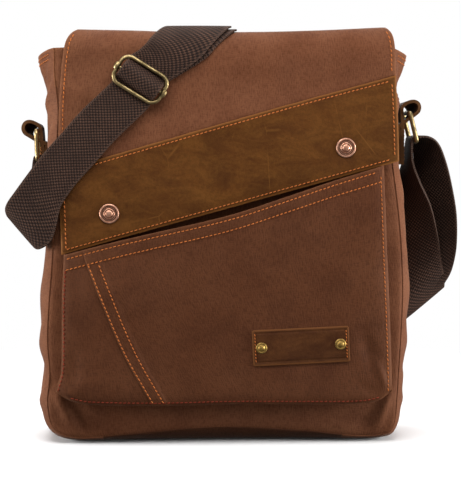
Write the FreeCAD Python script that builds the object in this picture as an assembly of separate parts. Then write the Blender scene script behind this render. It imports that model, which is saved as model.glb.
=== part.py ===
import FreeCAD, Part
import math
import os

# Messenger bag: canvas shell with a slanted flap, a deep front pocket and a doubled webbing strap.
# Millimetres. Front faces -Y, right side is +X, +Z is up, origin at the centre of the base.

Vector = FreeCAD.Vector

# bag shell
bagWidth = 304.0            # over the gussets near the base
bagDepth = 85.0             # over the front and back panels
bagHeight = 343.0           # to the middle of the back panel's top edge
frontDrop = 6.0             # the front panel is lower, to clear the bend of the flap
earDrop = 17.0              # from there down to the top edge of the gussets
earSpread = 5.0             # how far the top of each gusset stands out past half the width
hipSpread = 3.5             # swell of the sides above the base
waistPinch = 6.0            # how far the sides draw in under the tabs
hipHeight = 75.0
waistHeight = 240.0
cornerRadius = 18.0         # lower corners seen from the front
canvasWall = 2.0
liningWall = 0.8
fitGap = 0.1                # between sewn layers
liningDrop = 8.0            # from the gussets' top edge down to the lining's
seamSplit = 100.0           # half length of the base panel between its two seams

# inner slip pocket on the back lining
slipWidth = 210.0
slipHeight = 130.0
slipDrop = 95.0             # from the top of the lining to the pocket's mouth
slipRoom = 5.0

# front pocket
pocketLeft = -133.0         # left end of its mouth
pocketRight = 135.0
pocketFlare = 4.5           # how much wider each side is at the bottom
pocketBottom = 36.0
pocketMouthLeft = 157.0     # mouth height at its left end
mouthSlope = 0.2735         # rise of the mouth and of the flap's edge per unit of width
pocketDepthLow = 21.5       # how far the pocket stands out of the front panel at the bottom
pocketLean = 0.057          # how far its face leans back per unit of height
pocketCorner = 9.0
seamTopX = -107.0           # slanted seam where it meets the mouth
seamBottomX = -53.0

# flap
flapThickness = 1.6
flapLiningThickness = 0.8
flapClearance = 4.0         # between the front panel and the flap's lining
flapRise = 3.5              # from the back panel's top edge to the flap's outer face
flapCorner = 12.0           # outer radius over the front top edge
flapLeftTop = -129.5
flapLeftBottom = -134.5
flapRightTop = 140.5
flapRightBottom = 145.5
flapAboveMouth = 4.0        # between the flap's edge and the pocket's mouth
bandHeight = 69.0
bandThickness = 2.0
hingeOut = 1.5              # hinge line behind the back panel
hingeRise = 0.6             # and above its top edge
hingeGap = 0.3
rootDrop = 25.0             # height of the flap's sewn-down root on the back panel

# snaps, with the two places measured from the flap's lower edge
snapXs = (-95.0, 102.0)
snapRise = 23.0
capRadius = 8.4
capHeight = 3.2
shankRadius = 2.2
socketRadius = 7.0
socketBore = 4.4
socketHeight = 2.3
studBaseRadius = 6.5
studHeadRadius = 2.6
studBaseHeight = 1.0
studHeadHeight = 1.4
studPostRadius = 1.8
backDiscRadius = 5.0
backDiscHeight = 1.0
pinGap = 0.15               # around a post in its hole

# label patch
labelWidth = 81.0
labelHeight = 30.0
labelThickness = 1.8
labelX = 64.0
labelZ = 85.0
labelTilt = 2.5
labelRivetSpacing = 66.0
labelRivetRadius = 4.7
labelRivetHeight = 2.2

# rings, tabs and slider
strapWidth = 37.0
strapThickness = 1.8
ringWire = 4.0
ringSlack = 2.0             # free width of a ring beyond the webbing
ringHeight = 28.5
ringCorner = 3.0
leftRingDrop = 79.5         # from the back panel's top edge to each ring's top bar
rightRingDrop = 64.6
leftRingOut = 8.0           # top bar out from the gusset
rightRingOut = 9.1
leftRingTilt = -2.0
rightRingTilt = -14.0
tabWidth = 25.0
tabLeather = 1.7
tabLength = 36.0
tabLoopRadius = 8.5
leftLoopReach = 5.2         # from a ring's top bar out to the middle of the tab's loop
rightLoopReach = 3.2
tabLoopRise = 5.0
tabDrop = 8.0               # from a ring's top bar down to the tab's sewn-down part
tabNeck = 4.0               # from a ring's top bar down to the inside of the loop's neck
sliderWire = 3.4
sliderSlack = 1.6
sliderLength = 27.4
sliderCorner = 3.0
barDiameter = 3.0
collarRadius = 2.5
collarLength = 5.0
sliderX = -69.0
sliderDrop = 37.0           # from the back panel's top edge
sliderTurn = 54.0           # the strap's slope where the slider sits
layerGap = 0.6
pressedGap = 0.4            # between the two layers where they lie on the back
wireGap = 0.4               # between webbing and a wire it passes
underTopX = -10.0           # middle of each layer where it crosses the top
upperTopX = -16.0
strapSplit = 8.0            # the webbing's solids part this far before the hinge line
splitGap = 0.2


frontFace = -bagDepth / 2
backFace = bagDepth / 2
frontHeight = bagHeight - frontDrop
earHeight = bagHeight - earDrop
liningHeight = earHeight - liningDrop
leftRingHeight = bagHeight - leftRingDrop
rightRingHeight = bagHeight - rightRingDrop
flapTop = bagHeight + flapRise
hingeY = backFace + hingeOut
hingeZ = bagHeight + hingeRise
sliderPlace = (sliderX, bagHeight - sliderDrop)
flapLiningBack = frontFace - flapClearance
flapLiningFace = flapLiningBack - flapLiningThickness
flapCanvasBack = flapLiningFace - fitGap
flapFace = flapCanvasBack - flapThickness
bandBack = flapFace - fitGap
bandFace = bandBack - bandThickness


def outlineFace(points):
    """Closed outline in XZ from (x, z, radius) corners, each radius an arc."""
    edges = []
    count = len(points)
    starts = []
    for i in range(count):
        x, z, radius = points[i]
        here = Vector(x, 0, z)
        before = Vector(points[i - 1][0], 0, points[i - 1][1]) - here
        after = Vector(points[(i + 1) % count][0], 0, points[(i + 1) % count][1]) - here
        before.normalize()
        after.normalize()
        if radius == 0:
            starts.append((here, here, None))
            continue
        half = before.getAngle(after) / 2
        reach = radius / math.tan(half)
        middle = before + after
        middle.normalize()
        centre = here + middle * (radius / math.sin(half))
        crown = centre - middle * radius
        starts.append((here + before * reach, here + after * reach, crown))
    for i in range(count):
        entry, leave, crown = starts[i]
        if crown is not None:
            edges.append(Part.Arc(entry, crown, leave).toShape())
        following = starts[(i + 1) % count][0]
        if leave.distanceToPoint(following) > 1e-6:
            edges.append(Part.LineSegment(leave, following).toShape())
    return Part.Face(Part.Wire(edges))


def slab(points, y0, y1):
    """Outline in XZ made solid between two depths."""
    face = outlineFace(points)
    face.translate(Vector(0, y0, 0))
    return face.extrude(Vector(0, y1 - y0, 0))


def box(x0, x1, y0, y1, z0, z1):
    return Part.makeBox(x1 - x0, y1 - y0, z1 - z0, Vector(x0, y0, z0))


def post(x, z, radius, y0, y1):
    return Part.makeCylinder(radius, y1 - y0, Vector(x, y0, z), Vector(0, 1, 0))


def sideSurface(z):
    """How far out the gusset's outer face lies at a height, between waist and ear."""
    half = bagWidth / 2
    if z > waistHeight:
        share = (z - waistHeight) / (earHeight - waistHeight)
        return half - waistPinch + share * (earSpread + waistPinch)
    share = (z - hipHeight) / (waistHeight - hipHeight)
    return half + hipSpread - share * (hipSpread + waistPinch)


def shellOutline(inset, top):
    """Front outline of the bag, drawn in by an inset, up to the given top heights."""
    half = bagWidth / 2
    radius = max(cornerRadius - inset, 2.0)
    middleTop, sideTop = top
    side = [(half - inset, inset, radius),
            (half + hipSpread - inset, hipHeight, 0),
            (half - waistPinch - inset, waistHeight, 0),
            (sideSurface(sideTop) - inset, sideTop, 0)]
    if middleTop > sideTop:
        side.append((half * 0.62, middleTop, 0))
    mirrored = [(-x, z, r) for x, z, r in reversed(side)]
    return mirrored[-1:] + side + mirrored[:-1]


def clearHoles(shape, places, radius, y0, y1):
    for x, z in places:
        shape = shape.cut(post(x, z, radius + pinGap, y0, y1))
    return shape


def mouthHeight(x):
    return pocketMouthLeft + (x - pocketLeft) * mouthSlope


def flapEdge(x):
    return mouthHeight(x) + flapAboveMouth


def pocketFace(z):
    return frontFace - pocketDepthLow + (z - pocketBottom) * pocketLean


snapPlaces = [(x, flapEdge(x) + snapRise) for x in snapXs]


def panels():
    front = slab(shellOutline(0.0, (frontHeight, earHeight)), frontFace, frontFace + canvasWall)
    front = clearHoles(front, snapPlaces, studPostRadius, frontFace - 1, frontFace + 5)
    back = slab(shellOutline(0.0, (bagHeight, earHeight)), backFace - canvasWall, backFace)
    return {"front_panel": front, "back_panel": back}


def gussets():
    y0 = frontFace + canvasWall
    y1 = backFace - canvasWall
    outer = slab(shellOutline(0.0, (earHeight, earHeight)), y0, y1)
    inner = slab(shellOutline(canvasWall, (earHeight + 5, earHeight + 5)), y0 - 1, y1 + 1)
    strip = outer.cut(inner)
    reach = bagWidth
    base = strip.common(box(-seamSplit, seamSplit, y0, y1, -5, cornerRadius * 2))
    left = strip.common(box(-reach, -seamSplit, y0, y1, -5, earHeight + 5))
    right = strip.common(box(seamSplit, reach, y0, y1, -5, earHeight + 5))
    return {"base_panel": base, "left_gusset": left, "right_gusset": right}


def liningBag():
    inset = canvasWall + fitGap
    outer = slab(shellOutline(inset, (liningHeight, liningHeight)),
                 frontFace + inset, backFace - inset)
    inset += liningWall
    inner = slab(shellOutline(inset, (liningHeight + 5, liningHeight + 5)),
                 frontFace + inset, backFace - inset)
    lining = outer.cut(inner)
    lining = clearHoles(lining, snapPlaces, studPostRadius, frontFace, 0)
    return {"lining": lining}


def slipPocket():
    backInside = backFace - canvasWall - 2 * fitGap - liningWall
    low = liningHeight - slipDrop - slipHeight
    high = liningHeight - slipDrop
    outer = box(-slipWidth / 2, slipWidth / 2, backInside - slipRoom - liningWall, backInside, low, high)
    inner = box(-slipWidth / 2 + liningWall * 4, slipWidth / 2 - liningWall * 4,
                backInside - slipRoom, backInside + 1, low + liningWall * 4, high + 1)
    return {"inner_pocket": outer.cut(inner)}


def pocketOutline(inset, rise):
    return [(pocketLeft + inset, mouthHeight(pocketLeft + inset) + rise, 0),
            (pocketRight - inset, mouthHeight(pocketRight - inset) + rise, 0),
            (pocketRight + pocketFlare - inset, pocketBottom + inset, pocketCorner),
            (pocketLeft - pocketFlare + inset, pocketBottom + inset, pocketCorner)]


def leanPrism(front, back):
    """Space between the pocket's leaning face, moved back by front, and a depth."""
    low = 0.0
    high = bagHeight
    corners = [Vector(-bagWidth, pocketFace(low) + front, low), Vector(-bagWidth, back, low),
               Vector(-bagWidth, back, high), Vector(-bagWidth, pocketFace(high) + front, high)]
    face = Part.Face(Part.makePolygon(corners + corners[:1]))
    return face.extrude(Vector(bagWidth * 2, 0, 0))


def placeOnPocket(shape):
    """Tilts a shape drawn upright at the label's centre and lays it on the leaning face."""
    shape.rotate(Vector(0, 0, 0), Vector(0, 1, 0), -labelTilt)
    shape.rotate(Vector(0, 0, 0), Vector(1, 0, 0), -math.degrees(math.atan(pocketLean)))
    shape.translate(Vector(labelX, pocketFace(labelZ), labelZ))
    return shape


def labelPosts(radius, y0, y1):
    posts = []
    for side in (-1, 1):
        posts.append(placeOnPocket(post(side * labelRivetSpacing / 2, 0, radius, y0, y1)))
    return posts


def frontPocket():
    back = frontFace - fitGap
    whole = slab(pocketOutline(0.0, 0.0), pocketFace(0) - 5, back).common(leanPrism(0.0, back))
    room = slab(pocketOutline(canvasWall, 20.0), pocketFace(0) - 5, back + 1)
    room = room.common(leanPrism(canvasWall, back + 1))
    walls = whole.cut(room)
    face = walls.common(leanPrism(0.0, back).cut(leanPrism(canvasWall, back + 1)))
    gusset = walls.cut(leanPrism(0.0, back).cut(leanPrism(canvasWall, back + 1)))
    for hole in labelPosts(shankRadius + pinGap, -5, 5):
        face = face.cut(hole)
    top = bagHeight
    lean = (seamBottomX - seamTopX) / (pocketBottom - mouthHeight(seamTopX))
    topX = seamTopX + (top - mouthHeight(seamTopX)) * lean
    sideOutline = [(-bagWidth, 0, 0), (seamBottomX - pocketBottom * lean, 0, 0), (topX, top, 0), (-bagWidth, top, 0)]
    sideSpace = slab(sideOutline, -2 * bagDepth, 0)
    return {"pocket_main_panel": face.cut(sideSpace), "pocket_side_panel": face.common(sideSpace),
            "pocket_gusset": gusset}


def label():
    half = labelWidth / 2
    tall = labelHeight / 2
    outline = [(-half, -tall, 2.0), (half, -tall, 2.0), (half, tall, 2.0), (-half, tall, 2.0)]
    patch = placeOnPocket(slab(outline, -labelThickness - fitGap, -fitGap))
    for hole in labelPosts(shankRadius + pinGap, -5, 5):
        patch = patch.cut(hole)
    front = -labelThickness - 2 * fitGap
    inside = canvasWall + fitGap
    rivets = []
    backs = []
    for side in (-1, 1):
        x = side * labelRivetSpacing / 2
        dome = domeCap(x, 0, labelRivetRadius, labelRivetHeight, front)
        rivets.append(placeOnPocket(dome.fuse(post(x, 0, shankRadius, front - 0.5, inside)).removeSplitter()))
        backs.append(placeOnPocket(post(x, 0, labelRivetRadius, inside, inside + backDiscHeight)))
    return {"label_patch": patch, "label_rivets": Part.makeCompound(rivets),
            "label_rivet_backs": Part.makeCompound(backs)}


def domeCap(x, z, radius, height, seat):
    """Low dome standing forward of its seat."""
    ball = (radius * radius + height * height) / (2 * height)
    sphere = Part.makeSphere(ball, Vector(x, seat + ball - height, z))
    return sphere.common(post(x, z, radius + 1, seat - height - 1, seat))


def snaps():
    caps = []
    sockets = []
    studs = []
    backs = []
    capSeat = bandFace - fitGap
    lip = frontFace - fitGap - studBaseHeight
    for x, z in snapPlaces:
        rim = post(x, z, capRadius, capSeat - 1.6, capSeat)
        boss = domeCap(x, z, capRadius * 0.62, capHeight - 1.6, capSeat - 1.5)
        shank = post(x, z, shankRadius, capSeat - 0.5, flapLiningBack + fitGap)
        caps.append(rim.fuse([boss, shank]).removeSplitter())
        seat = flapLiningBack + 2 * fitGap
        ring = post(x, z, socketRadius, seat, seat + socketHeight)
        sockets.append(ring.cut(post(x, z, socketBore, seat + 0.5, seat + socketHeight + 1)))
        base = post(x, z, studBaseRadius, lip, frontFace - fitGap)
        head = post(x, z, studHeadRadius, lip - studHeadHeight, lip + 0.1)
        inside = frontFace + canvasWall + liningWall + 2 * fitGap
        stem = post(x, z, studPostRadius, lip, inside)
        studs.append(base.fuse([head, stem]).removeSplitter())
        backs.append(post(x, z, backDiscRadius, inside, inside + backDiscHeight))
    return {"snap_caps": Part.makeCompound(caps), "snap_sockets": Part.makeCompound(sockets),
            "snap_studs": Part.makeCompound(studs), "snap_stud_backs": Part.makeCompound(backs)}


def flapOutline():
    return [(flapLeftBottom, flapEdge(flapLeftBottom), 0), (flapRightBottom, flapEdge(flapRightBottom), 0),
            (flapRightTop, flapTop + 1, 0), (flapLeftTop, flapTop + 1, 0)]


def flapLayer(face, thickness, top, radius):
    """One bent layer of the flap: top plate, rounded edge and front plate."""
    end = hingeY - hingeGap
    solids = []
    for y, z, r, spare in ((face, top, radius, 0), (face + thickness, top - thickness, radius - thickness, 1)):
        corners = [(y, -spare, 0), (y, z, r), (end + spare, z, 0), (end + spare, -spare, 0)]
        solid = slab(corners, 0, bagWidth * 2)
        solid.rotate(Vector(0, 0, 0), Vector(0, 0, 1), 90)
        solid.translate(Vector(bagWidth, 0, 0))
        solids.append(solid)
    return solids[0].cut(solids[1])


def flap():
    outline = slab(flapOutline(), flapFace - 5, hingeY)
    canvas = flapLayer(flapFace, flapThickness, flapTop, flapCorner).common(outline)
    inner = flapLayer(flapLiningFace, flapLiningThickness, flapTop - flapThickness - fitGap,
                      flapCorner - flapThickness - fitGap).common(outline)
    low = flapEdge(flapLeftBottom)
    highRight = flapEdge(flapRightBottom)
    side = (flapLeftBottom - flapLeftTop) / (flapTop - low)
    sideRight = (flapRightBottom - flapRightTop) / (flapTop - highRight)
    band = [(flapLeftBottom, low, 0), (flapRightBottom, highRight, 0),
            (flapRightBottom - bandHeight * sideRight, highRight + bandHeight, 0),
            (flapLeftBottom - bandHeight * side, low + bandHeight, 0)]
    leather = slab(band, bandFace, bandBack)
    pieces = {"flap_canvas": canvas, "flap_lining": inner, "flap_band": leather}
    for name in pieces:
        pieces[name] = clearHoles(pieces[name], snapPlaces, shankRadius, bandFace - 2, flapLiningBack + 2)
    root = box(flapLeftTop, flapRightTop, backFace + fitGap, backFace + fitGap + flapThickness,
               hingeZ - hingeGap - rootDrop, hingeZ - hingeGap)
    pieces["flap_root"] = root
    return pieces


def barLoop(width, height, wire, corner):
    """Wire bent to a rectangle in YZ, hanging from the middle of its top bar."""
    half = width / 2
    radius = wire / 2
    straight = half - corner
    bars = []
    for z in (0, -height):
        bars.append(Part.makeCylinder(radius, 2 * straight, Vector(0, -straight, z), Vector(0, 1, 0)))
    for y in (-half, half):
        bars.append(Part.makeCylinder(radius, height - 2 * corner, Vector(0, y, corner - height), Vector(0, 0, 1)))
    for ySide, zEdge, start in ((1, 0, 0), (-1, 0, 90), (-1, 1, 180), (1, 1, 270)):
        bend = Part.makeTorus(corner, radius, Vector(0, 0, 0), Vector(0, 0, 1), -180, 180, 90)
        bend.rotate(Vector(0, 0, 0), Vector(0, 0, 1), start)
        bend.rotate(Vector(0, 0, 0), Vector(0, 1, 0), 90)
        bend.rotate(Vector(0, 0, 0), Vector(1, 0, 0), 90)
        z = -corner if zEdge == 0 else corner - height
        bend.translate(Vector(0, ySide * straight, z))
        bars.append(bend)
    return bars


def fusedLoop(width, height, wire, corner):
    bars = barLoop(width, height, wire, corner)
    return bars[0].fuse(bars[1:]).removeSplitter()


leftRingTop = (-sideSurface(leftRingHeight) - leftRingOut, leftRingHeight)
rightRingTop = (sideSurface(rightRingHeight) + rightRingOut, rightRingHeight)


def ringAt(top, tilt):
    outerWidth = strapWidth + ringSlack
    ring = fusedLoop(outerWidth + ringWire, ringHeight - ringWire, ringWire, ringCorner)
    ring.rotate(Vector(0, 0, 0), Vector(0, 1, 0), tilt)
    ring.translate(Vector(top[0], 0, top[1]))
    return ring


def teardrop(centre, radius, tip):
    """Round loop drawn out to a point."""
    ball = post(centre[0], centre[1], radius, -tabWidth / 2, tabWidth / 2)
    dx = tip[0] - centre[0]
    dz = tip[1] - centre[1]
    reach = math.hypot(dx, dz)
    lean = math.atan2(dz, dx)
    spread = math.acos(radius / reach)
    corners = [Vector(tip[0], 0, tip[1])]
    for side in (-1, 1):
        angle = lean + side * spread
        corners.append(Vector(centre[0] + radius * math.cos(angle), 0, centre[1] + radius * math.sin(angle)))
    wedge = Part.Face(Part.makePolygon([corners[0], corners[1], Vector(centre[0], 0, centre[1]), corners[2], corners[0]]))
    wedge.translate(Vector(0, -tabWidth / 2, 0))
    return ball.fuse(wedge.extrude(Vector(0, tabWidth, 0))).removeSplitter()


def tabAt(side, ringTop, loopReach):
    """Leather strip folded round the ring's top bar, both ends sewn flat on the gusset."""
    high = ringTop[1] - tabDrop
    low = high - tabLength
    face = side * (max(sideSurface(high), sideSurface(low)) + fitGap)
    centre = (ringTop[0] + side * loopReach, ringTop[1] + tabLoopRise)
    outer = teardrop(centre, tabLoopRadius, (face + side * tabLeather, high - tabNeck))
    inner = teardrop(centre, tabLoopRadius - tabLeather, (face + side * tabLeather * 1.4, ringTop[1] - tabNeck))
    x0, x1 = sorted((face, face + side * 2 * tabLeather))
    patch = box(x0, x1, -tabWidth / 2, tabWidth / 2, low, high)
    bagSpace = box(min(face, 0), max(face, 0), -bagDepth, bagDepth, 0, bagHeight)
    return outer.cut(inner).fuse(patch).cut(bagSpace).removeSplitter()


def strapFrame():
    """Directions along and across the strap where the slider sits, and the slider's own depth."""
    slope = math.radians(sliderTurn)
    along = Vector(-math.cos(slope), 0, -math.sin(slope))
    across = Vector(math.sin(slope), 0, -math.cos(slope))
    return along, across


underLayerY = flapFace - 0.5 - strapThickness / 2
upperLayerY = underLayerY - strapThickness - layerGap
sliderY = upperLayerY - strapThickness / 2 - wireGap - sliderWire / 2


def slider():
    width = strapWidth + sliderSlack + sliderWire
    length = sliderLength - sliderWire
    along, across = strapFrame()
    frame = fusedLoop(width, length, sliderWire, sliderCorner)
    bar = Part.makeCylinder(barDiameter / 2, width, Vector(0, -width / 2, -length / 2), Vector(0, 1, 0))
    for y in (-width / 2, width / 2):
        collar = Part.makeCylinder(collarRadius, collarLength, Vector(0, y, -length / 2 - collarLength / 2), Vector(0, 0, 1))
        bar = bar.fuse(collar)
    for y in (-width / 2, width / 2):
        bar = bar.cut(Part.makeCylinder(sliderWire / 2 + pinGap, length, Vector(0, y, -length), Vector(0, 0, 1)))
    bar = bar.removeSplitter()
    pieces = {}
    for name, shape in (("slider_frame", frame), ("slider_bar", bar)):
        shape.translate(Vector(0, 0, length / 2))
        pieces[name] = placed(shape, along, across)
    return pieces


def placed(shape, along, across):
    """Moves a shape drawn in YZ onto the strap: its Y goes across, its Z goes up the strap."""
    up = along * -1
    normal = across.cross(up)
    matrix = FreeCAD.Matrix(normal.x, across.x, up.x, sliderPlace[0],
                            normal.y, across.y, up.y, sliderY,
                            normal.z, across.z, up.z, sliderPlace[1],
                            0, 0, 0, 1)
    result = shape.copy()
    result.Placement = FreeCAD.Placement(matrix).multiply(shape.Placement)
    return result


def smooth(frames, steps):
    """Catmull-Rom curve through hand-set sections, each a middle and a half width."""
    result = []
    last = len(frames) - 1
    for i in range(last):
        a = frames[max(i - 1, 0)]
        b = frames[i]
        c = frames[i + 1]
        d = frames[min(i + 2, last)]
        for k in range(steps):
            t = k / steps
            section = []
            for j in (0, 1):
                p = (b[j] * 2 + (c[j] - a[j]) * t + (a[j] * 2 - b[j] * 5 + c[j] * 4 - d[j]) * (t * t)
                     + (b[j] * 3 - a[j] - c[j] * 3 + d[j]) * (t ** 3)) * 0.5
                section.append(p)
            result.append(tuple(section))
    result.append(frames[-1])
    return result


def ribbon(frames, steps=5):
    """Webbing solid along a run of sections."""
    run = smooth(frames, steps)
    corners = []
    for i, (middle, half) in enumerate(run):
        tangent = run[min(i + 1, len(run) - 1)][0] - run[max(i - 1, 0)][0]
        normal = tangent.cross(half)
        normal.normalize()
        shift = normal * (strapThickness / 2)
        corners.append([middle - half - shift, middle + half - shift, middle + half + shift, middle - half + shift])
    faces = []

    def triangle(a, b, c):
        faces.append(Part.Face(Part.makePolygon([a, b, c, a])))

    for low, high in zip(corners[:-1], corners[1:]):
        for k in range(4):
            m = (k + 1) % 4
            triangle(low[k], low[m], high[m])
            triangle(low[k], high[m], high[k])
    for end in (corners[0], corners[-1]):
        triangle(end[0], end[1], end[2])
        triangle(end[0], end[2], end[3])
    solid = Part.Solid(Part.Shell(faces))
    if solid.Volume < 0:
        solid.reverse()
    return solid


def section(x, y, z, hx, hy, hz):
    return (Vector(x, y, z), Vector(hx, hy, hz))


def onFront(x, z, y, slope):
    """Section of the strap lying on the flap's front, square to its own slope."""
    angle = math.radians(slope)
    half = strapWidth / 2
    return section(x, y, z, half * math.sin(angle), 0, -half * math.cos(angle))


def alongSlider(distance, y, share=1.0):
    along, across = strapFrame()
    reach = share * strapWidth / 2
    return section(sliderPlace[0] + along.x * distance, y, sliderPlace[1] + along.z * distance,
                   across.x * reach, 0, across.z * reach)


endTaper = 0.94             # the sewn end is trimmed this much narrower
half = strapWidth / 2
crossing = half / math.sin(math.radians(50))     # half the strap where it crosses a level edge aslant
topUnder = flapTop + 0.5 + strapThickness / 2
topUpper = topUnder + strapThickness + layerGap
cornerY = flapFace + flapCorner
cornerZ = flapTop - flapCorner


def overCorner(radius, backX, frontX):
    """Sections round the flap's front top edge, from the level top to the upright front."""
    frames = []
    for degrees in (90, 72, 54, 36, 18, 0):
        angle = math.radians(degrees)
        share = 1 - degrees / 90
        spread = half + (crossing - half) * math.sin(math.pi * share) ** 2
        frames.append(section(backX + (frontX - backX) * share ** 1.4, cornerY - radius * math.cos(angle),
                              cornerZ + radius * math.sin(angle), spread, 0, 0))
    return frames


def strapFront():
    """Upper layer on the flap: over the top, through the slider and down to the flap's left edge."""
    hump = sliderY - barDiameter / 2 - wireGap - strapThickness * 1.5 - layerGap
    mid = (upperLayerY + hump) / 2
    split = hingeY - strapSplit - splitGap
    frames = [section(upperTopX, split, topUpper + 0.6, half, 0, 0),
              section(upperTopX, 0, topUpper + 1.4, half, 0, 0),
              section(upperTopX - 1, cornerY + 12, topUpper + 0.6, half, 0, 0)]
    frames += overCorner(flapCorner + topUpper - flapTop + 0.3, -20, -38)
    frames += [section(-44, upperLayerY, cornerZ - 6.5, half * 0.87, 0, -half * 0.56), alongSlider(-20, upperLayerY),
               alongSlider(-11.5, upperLayerY), alongSlider(-6.8, mid), alongSlider(-2.6, hump), alongSlider(2.6, hump),
               alongSlider(6.8, mid), alongSlider(11.5, upperLayerY), alongSlider(18, upperLayerY),
               onFront(sliderX - 35, sliderPlace[1] - 38, upperLayerY, 47),
              onFront(leftRingTop[0] + 37, leftRingTop[1] - 13.5, upperLayerY, 47)]
    return ribbon(frames)


def strapUnder():
    """Under layer on the flap: over the top and down to its end, sewn round the slider's bar."""
    wrap = barDiameter / 2 + wireGap + strapThickness / 2
    split = hingeY - strapSplit - splitGap
    frames = [section(underTopX, split, topUnder, half, 0, 0), section(underTopX, 0, topUnder, half, 0, 0),
              section(underTopX - 1, cornerY + 12, topUnder, half, 0, 0)]
    frames += overCorner(flapCorner + topUnder - flapTop, -13, -32)
    frames += [section(-39, underLayerY, cornerZ - 6.5, half * 0.87, 0, -half * 0.56), alongSlider(-21, underLayerY),
               alongSlider(-9.5, underLayerY), alongSlider(-5.5, sliderY + wrap - 0.6, endTaper)]
    for degrees in (90, 45, 0, -45, -90):
        angle = math.radians(degrees)
        frames.append(alongSlider(wrap * math.cos(angle), sliderY + wrap * math.sin(angle), endTaper))
    return ribbon(frames, 4)


def lowerBar(top, tilt):
    """Middle of a ring's lower bar."""
    drop = ringHeight - ringWire
    turn = math.radians(tilt)
    return top[0] - drop * math.sin(turn), top[1] - drop * math.cos(turn)


def strapLeft():
    """From the flap's left edge round a loose fold and up to the left ring, sewn round its lower bar."""
    barX, barZ = lowerBar(leftRingTop, leftRingTilt)
    wrap = ringWire / 2 + wireGap + strapThickness / 2
    foldX = barX - 14
    foldZ = barZ - 54
    frames = [onFront(foldX + 49.8, foldZ + 64.7, upperLayerY, 47), onFront(foldX + 33, foldZ + 46, upperLayerY, 48),
              section(foldX + 16.6, upperLayerY + 0.5, foldZ + 26, 13.9, -0.6, -12.2),
              section(foldX + 5, upperLayerY + 6.2, foldZ + 9.5, 14, -1.5, -12),
              section(foldX, upperLayerY + 17.2, foldZ, 14, 1, -12),
              section(foldX + 0.6, upperLayerY + 28.7, foldZ + 2, 11.5, 10, -10),
              section(barX - 8.9, -11, barZ - 36, 6, 16.5, -5), section(barX - 4.9, -2, barZ - 18, 1.5, 18.3, -1)]
    for degrees in (180, 135, 90, 45, 0):
        angle = math.radians(degrees)
        frames.append(section(barX + wrap * math.cos(angle), 0, barZ + wrap * math.sin(angle), 0, half, 0))
    frames.append(section(barX + wrap - 1.0, 0, barZ - 12, 0, half, 0))
    frames.append(section(barX + wrap - 2.6, 0, barZ - 24, 0, half, 0))
    return ribbon(frames, 5)


def strapBack():
    """Doubled run: down the back, round a fold, up through the right ring and back the same way."""
    barX, barZ = lowerBar(rightRingTop, rightRingTilt)
    wrap = ringWire / 2 + wireGap + strapThickness / 2
    slantX = half * 0.745
    slantZ = half * 0.667
    near = backFace + 3.4                       # inner layer on the back
    far = near + strapThickness + pressedGap    # outer layer
    top = bagHeight - 18
    foldX = barX + 15
    foldZ = barZ - 130
    split = hingeY - strapSplit + splitGap
    inner = [section(underTopX, split, topUnder, half, 0, 0),
             section(underTopX, hingeY - 1.4, topUnder + 0.6, half, 0, 0),
             section(underTopX, near + 1.3, hingeZ + 1.8, half * 1.1, 0, 1),
             section(underTopX + 2, near + 1.9, hingeZ - 6.6, half * 1.05, 0, 6),
             section(underTopX + 10, near + 0.7, top, slantX * 1.05, 0, slantZ)]
    shares = (0.22, 0.552, 0.83)                # places along the straight run down the back
    endX = foldX - 9
    endZ = foldZ + 9.5
    for share in shares:
        inner.append(section(endX * share, near, top + (endZ - top) * share, slantX, 0, slantZ))
    inner += [section(endX, near - 0.5, endZ, slantX, 0, slantZ), section(foldX, near - 8.6, foldZ - 0.5, slantX, 0, slantZ),
              section(foldX - 1, near - 16.4, foldZ + 8.5, slantX, -1, slantZ),
              section(foldX + 6, near - 21.9, foldZ + 33.5, 14, -9, 7.5), section(foldX + 10, 15, foldZ + 62, 12.5, -13, 3),
              section(barX + 24, 7, barZ - 40, 8.5, -16.4, 1.5), section(barX + 20.5, 2, barZ - 17, 3.5, -18.2, 0.5),
              section(barX + 12.5, 0, barZ + 0.5, 0, -half, 0)]
    dome = [section(barX + 6.5, 0, barZ + 3.6, 0, -half, 0), section(barX, 0, barZ + wrap, 0, -half, 0),
            section(barX - wrap * 0.7, 0, barZ + wrap * 0.7, 0, -half, 0), section(barX - wrap, 0, barZ, 0, -half, 0)]
    outer = [section(barX - 4.3, 1, barZ - 17, 1.5, -18.4, 0), section(barX - 3.1, 4, barZ - 35, 7, -17.1, 0.5),
             section(barX + 0.6, 10, barZ - 60, 11.5, -14, 3), section(foldX - 10, 17, foldZ + 43.5, 13.5, -10, 7.5),
             section(foldX - 4.5, near - 22.4, foldZ + 16.5, slantX, -4, slantZ * 0.95),
             section(foldX + 0.5, near - 18.3, foldZ + 3, slantX, 0, slantZ),
             section(foldX + 4.5, near - 8.6, foldZ - 5, slantX, 0, slantZ),
             section(endX + 1, far - 0.4, endZ - 1.2, slantX, 0, slantZ)]
    for share in reversed(shares):
        outer.append(section(endX * share, far, top + (endZ - top) * share, slantX, 0, slantZ))
    outer += [section(upperTopX + 14, far + 0.7, top, slantX * 1.05, 0, slantZ),
              section(upperTopX + 3, far + 2.1, hingeZ - 6.6, half * 1.05, 0, 6),
              section(upperTopX + 1, far + 1.5, hingeZ + 3.0, half * 1.1, 0, 1),
              section(upperTopX, hingeY, topUpper + 1.4, half, 0, 0),
              section(upperTopX, split, topUpper + 0.6, half, 0, 0)]
    return ribbon(inner + dome + outer, 5)


def strap():
    return {"strap_front": strapFront(), "strap_under": strapUnder(), "strap_left": strapLeft(),
            "strap_back": strapBack()}


def carryingGear():
    pieces = {"left_ring": ringAt(leftRingTop, leftRingTilt), "right_ring": ringAt(rightRingTop, rightRingTilt),
              "left_tab": tabAt(-1, leftRingTop, leftLoopReach), "right_tab": tabAt(1, rightRingTop, rightLoopReach)}
    pieces.update(slider())
    return pieces


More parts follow.
